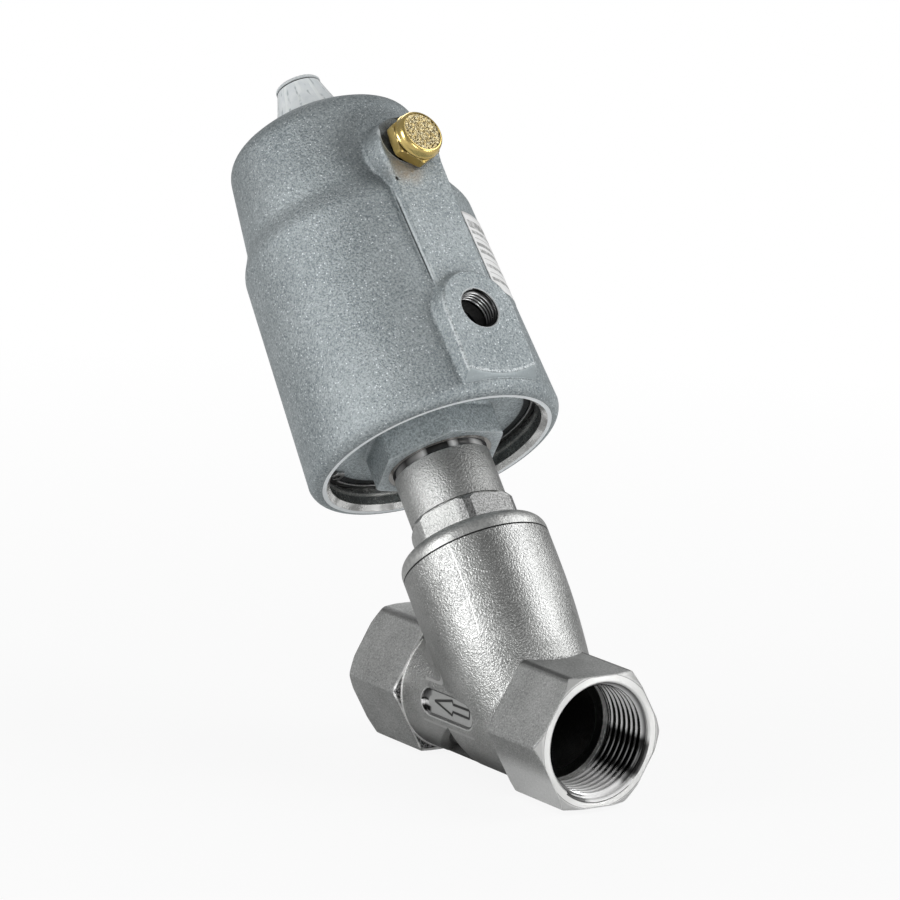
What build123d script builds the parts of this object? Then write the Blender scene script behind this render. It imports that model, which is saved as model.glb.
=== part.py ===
"""Angle-seat shut-off valve with a single-acting piston actuator, closed by its spring.

The line runs along +X from the inlet face at the origin. The stem leans towards the outlet, and every
piece on it is placed by its station: the distance along the stem axis from where that axis crosses the line.
"""
from build123d import *
import os
from math import asin, cos, degrees, radians, sin, sqrt

os.makedirs("parts", exist_ok=True)

# Valve body: the cast line with two hexagon ends and the branch for the stem
face_to_face = 75.0
hex_flats = 30.0
hex_length = 19.0
hex_corner_radius = 17.1
hex_back_chamfer = 0.5
port_radius = 13.22
port_depth = 15.5
port_lead = 0.35
end_ring_radius = 15.55
end_ring_slope = 0.85
tube_radius = 14.6
passage_radius = 10.0
stem_angle = 50.0
crossing = 24.1
branch_radius = 17.4
branch_root_step = 0.2
branch_lower_taper = 1.4
branch_upper_taper = 0.2
branch_top = 39.7
crease_radius = 3.5
pad_length = 20.0
pad_width = 5.8
pad_start = 28.0
pad_depth = 0.8
pocket_depth = 2.3
pocket_rib = 4.5
pocket_near_reach = 11.2
pocket_apex_reach = 14.3
pocket_far_reach = 30.4
pocket_apex_drop = 4.5
pocket_side_drop = 9.8

# Seat and plug
seat_station = 6.0
seat_bore_radius = 8.5
seat_bore_drop = 5.0
seat_lip_width = 1.7
seat_lip_height = 1.0
web_thickness = 3.0
chamber_step = 1.3
stroke = 12.0
seat_seal_radius = 10.7
seat_seal_thickness = 3.0
plug_radius = 11.2
plug_height = 9.0
plug_rim_height = 3.5
plug_shoulder_width = 3.5
plug_shoulder_height = 2.0
plug_neck_wall = 1.5
plug_socket_depth = 3.0
seal_washer_thickness = 1.5
seal_washer_gap = 0.7
seal_washer_bevel = 0.9
plug_nut_height = 3.2
small_nut_flats = 10.0
small_nut_corner_radius = 5.7
small_nut_slope = 0.5

# Bonnet: screwed into the branch and carrying the stem packing
bonnet_thread_wall = 2.9
bonnet_thread_length = 8.7
thread_relief = 0.5
gasket_thickness = 1.0
gasket_edge = 1.1
collar_height = 4.7
collar_rounding = 3.5
bonnet_hex_flats = 23.0
bonnet_hex_corner_radius = 12.8
bonnet_hex_face_radius = 12.2
bonnet_hex_slope = 1.6
bonnet_hex_height = 6.4
bonnet_hex_turn = 5.0
undercut_depth = 0.4
undercut_height = 0.5
shank_radius = 11.4
shank_height = 12.5
neck_radius = 10.6
neck_height = 1.6
spigot_radius = 9.0
stem_bore_gap = 0.4
packing_radius = 6.8
packing_floor = 36.0
packing_spring_height = 9.0
packing_spring_wire = 0.7
packing_spring_turns = 4.0
packing_washer_thickness = 1.2
packing_washer_gap = 0.2
packing_ring_count = 4
packing_ring_height = 2.2
packing_ring_slope = 0.8
wiper_radius = 7.0
wiper_height = 3.0
wiper_lip_width = 0.6
wiper_lip_height = 0.8
stem_seal_width = 2.0
stem_seal_height = 3.2

# Stem
stem_radius = 4.0
stem_end_radius = 3.0
stem_end_reach = 0.8
stem_end_chamfer = 0.5

# Cylinder cover: disc and hexagon in one casting
cover_hex_flats = 28.0
cover_hex_corner_radius = 15.9
cover_hex_face_radius = 15.5
cover_hex_height = 7.9
cover_hex_turn = 12.0
cover_hex_slope = 0.6
cover_hex_fillet = 0.8
cover_disc_thickness = 6.5
cover_edge_chamfer = 0.5
cover_bore_radius = 25.2
cover_counterbore_radius = 11.3
cover_counterbore_depth = 1.0
cover_groove_land = 1.2
cover_groove_height = 2.0
cover_groove_depth = 1.7
cover_wall = 4.0
cover_hub_wall = 3.0
cover_relief_depth = 2.0
cover_relief_draft = 1.0
wire_radius = 0.8
wire_end_length = 3.4
wire_bend_radius = 1.4
wire_gap_angle = 26.0
wire_gap_turn = -29.0

# Cylinder housing: one casting with the rib, the pilot boss and the exhaust boss
housing_turn = 4.6
piston_bore_radius = 25.0
rim_drop = 6.5
rim_mouth_radius = 26.7
rim_radius = 30.2
rim_rounding = 2.1
rim_ramp_rise = 2.7
rim_ramp_reach = 8.0
rim_ramp_slope = 1.25
mouth_chamfer_width = 1.2
mouth_chamfer_height = 1.7
mouth_land_step = 0.3
mouth_land_height = 2.0
mouth_lead_height = 0.6
skirt_top_radius = 27.6
shoulder_height = 8.2
shoulder_set_in = 0.9
upper_radius = 24.75
upper_foot_height = 1.2
upper_foot_flare = 0.15
upper_top_radius = 22.35
upper_height = 19.9
crown_radius = 37.9
crown_rounding = 2.0
housing_wall = 2.8
bore_end_rise = 3.5
spring_chamber_radius = 20.3
spring_seat_drop = 2.2
crown_bore_radius = 12.0
crown_bore_draft = 1.0
boss_root_radius = 16.0
rib_face = 28.7
rib_half_width = 7.6
rib_draft = 9.0
pilot_face = 31.3
pilot_boss_radius = 9.7
pilot_boss_draft = 11.5
pilot_port_radius = 4.86
pilot_port_depth = 5.4
pilot_port_rise = 7.9
port_bleed_radius = 2.5
port_bleed_depth = 12.0
exhaust_rise = 12.8
exhaust_boss_radius = 8.0

# Piston and springs
piston_gap = 12.7
piston_height = 8.0
piston_radial_gap = 0.3
piston_land = 1.2
piston_middle_land = 1.0
piston_relief_depth = 3.0
piston_rim_width = 4.4
piston_rim_draft = 0.6
piston_seal_height = 3.2
piston_seal_depth = 2.9
piston_lip_height = 1.4
piston_notch_inset = 0.9
piston_notch_width = 1.0
piston_notch_depth = 1.6
guide_ring_height = 2.0
guide_ring_depth = 1.2
piston_hub_radius = 8.0
piston_hub_rise = 2.0
piston_hub_draft = 1.0
hub_socket_depth = 1.0
piston_nut_height = 4.0
overtravel = 6.5
spring_radius = 15.6
spring_wire_radius = 1.5
spring_turns = 6.0
spring_pocket_depth = 2.5
spring_pocket_gap = 0.6
spring_pocket_draft = 0.4

# Indicator on the crown
indicator_flange_radius = 9.0
indicator_top_radius = 5.0
indicator_height = 10.6
indicator_flange_height = 1.2
indicator_spigot_radius = 6.0
indicator_bore_radius = 3.2
indicator_roof = 1.8
indicator_seat_gap = 0.4
dome_cap_height = 1.2
dome_cap_flare = 0.25
dome_cap_groove = 0.15
dome_cap_rounding = 0.4
dome_groove_land = 1.8
dome_groove_lip = 0.5
dome_groove_depth = 0.6
pin_radius = 2.5
pin_end_gap = 1.6
pin_end_chamfer = 0.5
pin_thread_length = 4.0
pin_collar_wall = 1.2
pin_collar_height = 6.0
pin_collar_slope = 1.5

# Exhaust silencer
silencer_flats = 11.2
silencer_corner_radius = 6.35
silencer_corner_turn = 0.4
silencer_foot_radius = 4.95
silencer_foot_height = 0.9
silencer_hex_height = 2.3
silencer_hex_turn = 28.0
silencer_groove_radius = 5.6
silencer_groove_height = 0.3
silencer_collar_radius = 6.15
silencer_collar_height = 2.5
silencer_lip_width = 0.3
silencer_disc_radius = 4.5
silencer_disc_thickness = 1.5
silencer_disc_recess = 0.3
silencer_thread_length = 6.0
silencer_bottom_gap = 0.6

# Rating label, bare
label_thickness = 0.25
label_height = 19.0
label_angle = 70.0
label_start = 25.0
label_rise = 17.0

# Clearances
thread_gap = 0.05
running_gap = 0.05
ring_gap = 0.1

# Radii worked out from those above
branch_root_radius = tube_radius - branch_root_step
bonnet_thread_radius = branch_radius - bonnet_thread_wall
chamber_radius = bonnet_thread_radius - chamber_step
cover_radius = cover_bore_radius - ring_gap

# Stations along the stem, worked out from the heights above
lip_station = seat_station + seat_lip_height
seal_top = lip_station + seat_seal_thickness
plug_top = seal_top + plug_height
washer_bottom = lip_station - seal_washer_thickness
plug_nut_bottom = washer_bottom - plug_nut_height
bonnet_bottom = branch_top - bonnet_thread_length
wiper_bottom = bonnet_bottom + ring_gap
branch_neck_station = 0.85 * branch_top
gasket_top = branch_top + gasket_thickness
collar_top = branch_top + collar_height
collar_foot = collar_top - collar_rounding
bonnet_hex_top = collar_top + bonnet_hex_height
undercut_top = bonnet_hex_top + undercut_height
shank_top = bonnet_hex_top + shank_height
cover_bottom = shank_top + neck_height
neck_top = cover_bottom + cover_counterbore_depth
disc_bottom = cover_bottom + cover_hex_height
cover_top = disc_bottom + cover_disc_thickness
cover_groove_high = cover_top - cover_groove_land
cover_groove_low = cover_groove_high - cover_groove_height
groove_station = disc_bottom - wire_radius - ring_gap
rim_station = disc_bottom - rim_drop
rim_top = rim_station + rim_rounding
ramp_bottom = rim_station + rim_ramp_rise
piston_bottom = cover_top + piston_gap
piston_top = piston_bottom + piston_height
bore_end = piston_top + stroke + overtravel
skirt_top = bore_end + housing_wall
upper_bottom = skirt_top + shoulder_height
upper_top = upper_bottom + upper_height
crown_centre = upper_top - sqrt(crown_radius ** 2 - upper_top_radius ** 2)
indicator_seat = crown_centre + sqrt(crown_radius ** 2 - (indicator_flange_radius + ring_gap) ** 2)
indicator_top = indicator_seat + indicator_height
crown_angle = degrees(asin((upper_top - crown_centre) / crown_radius))
spring_seat = upper_top - spring_seat_drop
pilot_station = cover_top + pilot_port_rise
exhaust_station = bore_end + exhaust_rise
label_bottom = cover_top + label_rise
label_top = label_bottom + label_height

# The stem axis and the planes on it
lean = radians(stem_angle)
turn = radians(housing_turn)
stem_direction = Vector(cos(lean), 0, sin(lean))
stem_axis = Axis((crossing, 0, 0), stem_direction)
stem_section = Plane(origin=(crossing, 0, 0), x_dir=(0, 1, 0), z_dir=(sin(lean), 0, -cos(lean)))
boss_direction = Vector(-sin(lean) * cos(turn), -sin(turn), cos(lean) * cos(turn))
boss_side = Vector(sin(lean) * sin(turn), -cos(turn), -cos(lean) * sin(turn))
boss_plane = Plane(origin=(crossing, 0, 0), x_dir=boss_side, z_dir=boss_direction)


def station(distance):
    """Plane square to the stem axis, with its X along +Y."""
    foot = Vector(crossing, 0, 0) + stem_direction * distance
    return Plane(origin=foot, x_dir=(0, 1, 0), z_dir=stem_direction)


def section(*outline):
    """Closed outline of straight runs, drawn as radius and station, to be turned about the stem axis."""
    with BuildSketch(stem_section) as drawn:
        with BuildLine():
            Polyline(*outline, close=True)
        make_face()
    return drawn.sketch


def ring_section(inner, outer, low, high):
    """Plain rectangular section of a ring."""
    return section((inner, low), (outer, low), (outer, high), (inner, high))


def o_ring(inner, outer, low, high):
    """Round cord ring squeezed into a groove: its section has rounded corners."""
    corner = 0.35 * min(outer - inner, high - low)
    return section(
        (inner + corner, low),
        (outer - corner, low),
        (outer, low + corner),
        (outer, high - corner),
        (outer - corner, high),
        (inner + corner, high),
        (inner, high - corner),
        (inner, low + corner),
    )


def turned_hexagon(flats, corner_radius, face_radius, slope, low, high, rotation, lower=False, upper=False):
    """Hexagon bar on the stem axis, with the corners of its lower or upper end turned off."""
    drop = (corner_radius - face_radius) * slope
    foot = [(face_radius, low), (corner_radius, low + drop)] if lower else [(corner_radius, low)]
    head = [(corner_radius, high - drop), (face_radius, high)] if upper else [(corner_radius, high)]
    with BuildPart() as bar:
        with BuildSketch(station(low)):
            RegularPolygon(flats / 2, 6, major_radius=False, rotation=rotation)
        extrude(amount=high - low)
        revolve(section((0, low), *foot, *head, (0, high)), axis=stem_axis, mode=Mode.INTERSECT)
    return bar.part


def stem_nut(low, height):
    """Hexagon nut on a threaded end of the stem."""
    with BuildPart() as nut:
        add(
            turned_hexagon(
                small_nut_flats, small_nut_corner_radius, small_nut_flats / 2, small_nut_slope,
                low, low + height, 0, lower=True, upper=True,
            )
        )
        revolve(
            ring_section(0, stem_end_radius + thread_gap, low, low + height),
            axis=stem_axis,
            mode=Mode.SUBTRACT,
        )
    return nut


def coil(low, high, radius, wire, turns):
    """Round wire wound about the stem axis between two stations."""
    with BuildPart() as wound:
        with BuildLine() as path:
            Helix(
                pitch=(high - low - 2 * wire) / turns,
                height=high - low - 2 * wire,
                radius=radius,
                center=station(low + wire).origin,
                direction=stem_direction,
            )
        with BuildSketch(Plane(origin=path.line @ 0, z_dir=path.line % 0)):
            Circle(wire)
        sweep(is_frenet=True)
    return wound


def stem_height(point):
    """Station of a point."""
    return (Vector(*point) - Vector(crossing, 0, 0)).dot(stem_direction)


def stem_distance(point):
    """Distance of a point from the stem axis."""
    reach = Vector(*point) - Vector(crossing, 0, 0)
    return (reach - stem_direction * reach.dot(stem_direction)).length


def line_distance(point):
    """Distance of a point from the axis of the line."""
    return Vector(0, point.Y, point.Z).length


def on_wire(angle, radius):
    """Point at an angle and a radius in the plane of the retaining ring."""
    return (radius * cos(radians(angle)), radius * sin(radians(angle)))


def skirt_radius(height):
    """Outer radius of the tapered skirt of the housing at a station."""
    share = (height - rim_top) / (skirt_top - rim_top)
    return rim_radius + (skirt_top_radius - rim_radius) * share


# Valve body
# The two passages are cut as cores that stop at the slanted web, so the flow turns up through the seat
with BuildPart() as inlet_core:
    with BuildSketch(Plane.YZ.offset(port_depth)):
        Circle(passage_radius)
    extrude(amount=face_to_face)
    split(bisect_by=station(seat_station - web_thickness), keep=Keep.BOTTOM)

with BuildPart() as outlet_core:
    with BuildSketch(Plane.YZ.offset(face_to_face - port_depth)):
        Circle(passage_radius)
    extrude(amount=-face_to_face)
    split(bisect_by=station(seat_station), keep=Keep.TOP)

# Relief pockets on both sides of the underside, where the web meets the wall
with BuildPart() as relief_pocket:
    with BuildSketch(Plane.XZ.offset(-pocket_rib)):
        with BuildLine():
            Polyline(
                (crossing + pocket_apex_reach, -pocket_apex_drop),
                (crossing + pocket_near_reach, -pocket_side_drop),
                (crossing + pocket_near_reach, -tube_radius - pocket_depth),
                (crossing + pocket_far_reach, -tube_radius - pocket_depth),
                close=True,
            )
        make_face()
    extrude(amount=-tube_radius)
    with BuildSketch(Plane.YZ):
        Circle(tube_radius - pocket_depth)
    extrude(amount=face_to_face, mode=Mode.SUBTRACT)
    mirror(about=Plane.XZ)

with BuildPart() as valve_body:
    with BuildSketch(Plane.YZ):
        Circle(tube_radius)
    extrude(amount=face_to_face)
    with BuildSketch(stem_section):
        with BuildLine():
            Polyline((0, branch_top), (0, 0), (branch_root_radius, 0))
            Spline(
                (branch_root_radius, 0),
                (branch_radius - branch_lower_taper, 0.25 * branch_top),
                (branch_radius - branch_upper_taper, 0.6 * branch_top),
                (branch_radius, branch_neck_station),
                tangents=((0.25, 1), (0, 1)),
            )
            Polyline((branch_radius, branch_neck_station), (branch_radius, branch_top), (0, branch_top))
        make_face()
    revolve(axis=stem_axis)
    # The casting runs smoothly from the branch into the line
    creases = valve_body.edges().filter_by(
        lambda edge: edge.geom_type == GeomType.BSPLINE and abs(line_distance(edge @ 0.5) - tube_radius) < 0.05
    )
    fillet(creases, crease_radius)
    # Hexagon ends, with their corners turned back behind each sealing face
    with BuildPart(mode=Mode.PRIVATE) as hexagon_ends:
        for face_x, inward in ((0, 1), (face_to_face, -1)):
            with BuildPart(mode=Mode.PRIVATE) as hexagon_end:
                with BuildSketch(Plane.YZ.offset(face_x)):
                    RegularPolygon(hex_flats / 2, 6, major_radius=False)
                extrude(amount=inward * hex_length)
                with BuildSketch(Plane.XY):
                    with BuildLine():
                        Polyline(
                            (face_x, 0),
                            (face_x, end_ring_radius),
                            (
                                face_x + inward * end_ring_slope * (hex_corner_radius - end_ring_radius),
                                hex_corner_radius,
                            ),
                            (face_x + inward * (hex_length - hex_back_chamfer), hex_corner_radius),
                            (face_x + inward * hex_length, hex_corner_radius - 2 * hex_back_chamfer),
                            (face_x + inward * hex_length, 0),
                            close=True,
                        )
                    make_face()
                revolve(axis=Axis.X, mode=Mode.INTERSECT)
            add(hexagon_end.part)
    add(hexagon_ends.part)
    for face_x, inward in ((0, 1), (face_to_face, -1)):
        with BuildSketch(Plane.XY):
            with BuildLine():
                Polyline(
                    (face_x, 0),
                    (face_x, port_radius + port_lead),
                    (face_x + inward * port_lead, port_radius),
                    (face_x + inward * port_depth, port_radius),
                    (face_x + inward * port_depth, 0),
                    close=True,
                )
            make_face()
        revolve(axis=Axis.X, mode=Mode.SUBTRACT)
    add(inlet_core.part, mode=Mode.SUBTRACT)
    add(outlet_core.part, mode=Mode.SUBTRACT)
    add(relief_pocket.part, mode=Mode.SUBTRACT)
    # Chamber above the seat, threaded mouth for the bonnet, and the bore of the seat
    revolve(
        section(
            (0, -seat_bore_drop),
            (seat_bore_radius, -seat_bore_drop),
            (seat_bore_radius, lip_station),
            (seat_bore_radius + seat_lip_width, lip_station),
            (seat_bore_radius + seat_lip_width, seat_station),
            (chamber_radius, seat_station),
            (chamber_radius, bonnet_bottom - thread_relief),
            (bonnet_thread_radius, bonnet_bottom - thread_relief),
            (bonnet_thread_radius, branch_top),
            (0, branch_top),
        ),
        axis=stem_axis,
        mode=Mode.SUBTRACT,
    )
    # Flat-bottomed pad for the flow arrow
    with BuildSketch(Plane.XZ.offset(-branch_radius)):
        with Locations((pad_start + pad_length / 2, 0)):
            SlotOverall(pad_length, pad_width)
    extrude(amount=branch_radius - tube_radius + pad_depth, mode=Mode.SUBTRACT)
valve_body.part.label = "valve_body"
export_step(valve_body.part, "parts/valve_body.step")

# Bonnet: threaded root, rounded collar, hexagon, shank, polished neck and the spigot for the cover
bonnet_hexagon = turned_hexagon(
    bonnet_hex_flats, bonnet_hex_corner_radius, bonnet_hex_face_radius, bonnet_hex_slope,
    collar_top, bonnet_hex_top, bonnet_hex_turn, upper=True,
)
with BuildPart() as bonnet:
    with BuildSketch(stem_section):
        with BuildLine():
            Polyline(
                (0, bonnet_bottom),
                (bonnet_thread_radius - thread_gap, bonnet_bottom),
                (bonnet_thread_radius - thread_gap, branch_top),
                (branch_radius, branch_top),
                (branch_radius, collar_foot),
            )
            RadiusArc(
                (branch_radius, collar_foot),
                (branch_radius - collar_rounding, collar_top),
                -collar_rounding,
            )
            Polyline(
                (branch_radius - collar_rounding, collar_top),
                (shank_radius - undercut_depth, collar_top),
                (shank_radius - undercut_depth, undercut_top),
                (shank_radius, undercut_top),
                (shank_radius, shank_top),
                (neck_radius, shank_top),
                (neck_radius, neck_top),
                (spigot_radius, neck_top),
                (spigot_radius, cover_top),
                (0, cover_top),
                (0, bonnet_bottom),
            )
        make_face()
    revolve(axis=stem_axis)
    add(bonnet_hexagon)
    # Bore for the stem, wiper seat below and packing box open above
    revolve(
        section(
            (0, bonnet_bottom),
            (wiper_radius, bonnet_bottom),
            (wiper_radius, wiper_bottom + wiper_height),
            (stem_radius + stem_bore_gap, wiper_bottom + wiper_height),
            (stem_radius + stem_bore_gap, packing_floor),
            (packing_radius, packing_floor),
            (packing_radius, cover_top),
            (0, cover_top),
        ),
        axis=stem_axis,
        mode=Mode.SUBTRACT,
    )
    # Recess under the collar that holds the gasket
    revolve(
        ring_section(bonnet_thread_radius - thread_gap, branch_radius - gasket_edge, branch_top, gasket_top),
        axis=stem_axis,
        mode=Mode.SUBTRACT,
    )
bonnet.part.label = "bonnet"
export_step(bonnet.part, "parts/bonnet.step")

# Gasket, wiper and stem packing, all held by the bonnet
with BuildPart() as bonnet_gasket:
    revolve(
        ring_section(
            bonnet_thread_radius,
            branch_radius - gasket_edge - ring_gap,
            branch_top,
            gasket_top - running_gap,
        ),
        axis=stem_axis,
    )
bonnet_gasket.part.label = "bonnet_gasket"
export_step(bonnet_gasket.part, "parts/bonnet_gasket.step")

with BuildPart() as stem_wiper:
    revolve(
        section(
            (stem_radius + running_gap, wiper_bottom),
            (stem_radius + 2 * wiper_lip_width, wiper_bottom + wiper_lip_height),
            (wiper_radius - 2 * wiper_lip_width, wiper_bottom + wiper_lip_height),
            (wiper_radius - wiper_lip_width, wiper_bottom),
            (wiper_radius, wiper_bottom),
            (wiper_radius, wiper_bottom + wiper_height),
            (stem_radius + running_gap, wiper_bottom + wiper_height),
        ),
        axis=stem_axis,
    )
stem_wiper.part.label = "stem_wiper"
export_step(stem_wiper.part, "parts/stem_wiper.step")

packing_spring_top = packing_floor + packing_spring_height
packing_middle = (stem_radius + packing_radius) / 2
packing_spring = coil(
    packing_floor, packing_spring_top, packing_middle, packing_spring_wire, packing_spring_turns
)
packing_spring.part.label = "packing_spring"
export_step(packing_spring.part, "parts/packing_spring.step")

packing_start = packing_spring_top + packing_washer_thickness
with BuildPart() as packing_washer:
    revolve(
        ring_section(
            stem_radius + packing_washer_gap,
            packing_radius - running_gap,
            packing_spring_top,
            packing_start,
        ),
        axis=stem_axis,
    )
packing_washer.part.label = "packing_washer"
export_step(packing_washer.part, "parts/packing_washer.step")

# Nested V rings: each one is a wedge-shaped collar that fits over the one below
with BuildPart() as packing_rings:
    for number in range(packing_ring_count):
        low = packing_start + number * packing_ring_height
        high = low + packing_ring_height - running_gap
        revolve(
            section(
                (stem_radius + running_gap, low),
                (packing_middle, low + packing_ring_slope),
                (packing_radius, low),
                (packing_radius, high),
                (packing_middle, high + packing_ring_slope),
                (stem_radius + running_gap, high),
            ),
            axis=stem_axis,
        )
packing_rings.part.label = "packing_rings"
export_step(packing_rings.part, "parts/packing_rings.step")

# Gland bush: guides the stem, presses the packing and carries the air seal in its upper groove
packing_end = packing_start + packing_ring_count * packing_ring_height
seal_groove_floor = cover_top - stem_seal_height
with BuildPart() as gland_bush:
    revolve(
        section(
            (stem_radius + running_gap, packing_end),
            (packing_middle, packing_end + packing_ring_slope),
            (packing_radius - thread_gap, packing_end),
            (packing_radius - thread_gap, cover_top),
            (stem_radius + stem_seal_width, cover_top),
            (stem_radius + stem_seal_width, seal_groove_floor),
            (stem_radius + running_gap, seal_groove_floor),
        ),
        axis=stem_axis,
    )
gland_bush.part.label = "gland_bush"
export_step(gland_bush.part, "parts/gland_bush.step")

with BuildPart() as stem_seal:
    revolve(
        section(
            (stem_radius + running_gap, seal_groove_floor),
            (stem_radius + stem_seal_width, seal_groove_floor),
            (stem_radius + stem_seal_width, cover_top - 0.12 * stem_seal_height),
            (stem_radius + 0.7 * stem_seal_width, cover_top - 0.12 * stem_seal_height),
            (stem_radius + 0.5 * stem_seal_width, cover_top - 0.5 * stem_seal_height),
            (stem_radius + 0.3 * stem_seal_width, cover_top - 0.12 * stem_seal_height),
            (stem_radius + running_gap, cover_top - 0.2 * stem_seal_height),
        ),
        axis=stem_axis,
    )
stem_seal.part.label = "stem_seal"
export_step(stem_seal.part, "parts/stem_seal.step")

# Cylinder cover with its hexagon, the groove for the rim ring and a relief inside
cover_hexagon = turned_hexagon(
    cover_hex_flats, cover_hex_corner_radius, cover_hex_face_radius, cover_hex_slope,
    cover_bottom, disc_bottom, cover_hex_turn, lower=True,
)
with BuildPart() as cylinder_cover:
    revolve(
        section(
            (0, disc_bottom),
            (cover_radius - cover_edge_chamfer, disc_bottom),
            (cover_radius, disc_bottom + cover_edge_chamfer),
            (cover_radius, cover_groove_low),
            (cover_radius - cover_groove_depth, cover_groove_low),
            (cover_radius - cover_groove_depth, cover_groove_high),
            (cover_radius, cover_groove_high),
            (cover_radius, cover_top),
            (cover_radius - cover_wall, cover_top),
            (cover_radius - cover_wall - cover_relief_draft, cover_top - cover_relief_depth),
            (spigot_radius + cover_hub_wall + cover_relief_draft, cover_top - cover_relief_depth),
            (spigot_radius + cover_hub_wall, cover_top),
            (0, cover_top),
        ),
        axis=stem_axis,
    )
    add(cover_hexagon)
    foot_edges = cylinder_cover.edges().filter_by(
        lambda edge: edge.geom_type == GeomType.LINE
        and abs(stem_height(edge.center()) - disc_bottom) < 0.01
    )
    fillet(foot_edges, cover_hex_fillet)
    revolve(
        section(
            (0, cover_bottom),
            (cover_counterbore_radius, cover_bottom),
            (cover_counterbore_radius, neck_top),
            (spigot_radius + thread_gap, neck_top),
            (spigot_radius + thread_gap, cover_top),
            (0, cover_top),
        ),
        axis=stem_axis,
        mode=Mode.SUBTRACT,
    )
cylinder_cover.part.label = "cylinder_cover"
export_step(cylinder_cover.part, "parts/cylinder_cover.step")

with BuildPart() as cover_o_ring:
    revolve(
        o_ring(
            cover_radius - cover_groove_depth,
            cover_bore_radius,
            cover_groove_low + running_gap,
            cover_groove_high - running_gap,
        ),
        axis=stem_axis,
    )
cover_o_ring.part.label = "cover_o_ring"
export_step(cover_o_ring.part, "parts/cover_o_ring.step")

# Ring that seals the neck of the bonnet in the cover
with BuildPart() as neck_seal:
    revolve(
        o_ring(neck_radius, cover_counterbore_radius, cover_bottom + ring_gap, neck_top),
        axis=stem_axis,
    )
neck_seal.part.label = "neck_seal"
export_step(neck_seal.part, "parts/neck_seal.step")

# Wire ring that holds the cover in the housing, with both its ends bent inwards
ring_start = wire_gap_turn + wire_gap_angle / 2
ring_end = wire_gap_turn - wire_gap_angle / 2
with BuildPart() as snap_ring:
    with BuildLine(station(groove_station)) as ring_path:
        Line(on_wire(ring_start, cover_bore_radius - wire_end_length), on_wire(ring_start, cover_bore_radius))
        CenterArc((0, 0), cover_bore_radius, ring_start, 360 - wire_gap_angle)
        Line(on_wire(ring_end, cover_bore_radius), on_wire(ring_end, cover_bore_radius - wire_end_length))
        corners = ring_path.vertices().group_by(lambda corner: round(stem_distance(corner), 2))[-1]
        fillet(corners, wire_bend_radius)
    with BuildSketch(Plane(origin=ring_path.line @ 0, z_dir=ring_path.line % 0)):
        Circle(wire_radius)
    sweep()
snap_ring.part.label = "snap_ring"
export_step(snap_ring.part, "parts/snap_ring.step")

# Housing of the cylinder: the rib and the pilot boss widen towards their feet
with BuildPart() as rib:
    with BuildSketch(boss_plane.offset(rib_face)):
        with Locations((0, (rim_station + exhaust_station) / 2)):
            Rectangle(2 * rib_half_width, exhaust_station - rim_station)
        with Locations((0, exhaust_station)):
            Circle(exhaust_boss_radius)
    extrude(amount=boss_root_radius - rib_face, taper=-rib_draft)

with BuildPart() as pilot_boss:
    with BuildSketch(boss_plane.offset(pilot_face)):
        with Locations((0, (rim_station + pilot_station) / 2)):
            Rectangle(2 * pilot_boss_radius, pilot_station - rim_station)
        with Locations((0, pilot_station)):
            Circle(pilot_boss_radius)
    extrude(amount=boss_root_radius - pilot_face, taper=-pilot_boss_draft)

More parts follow.
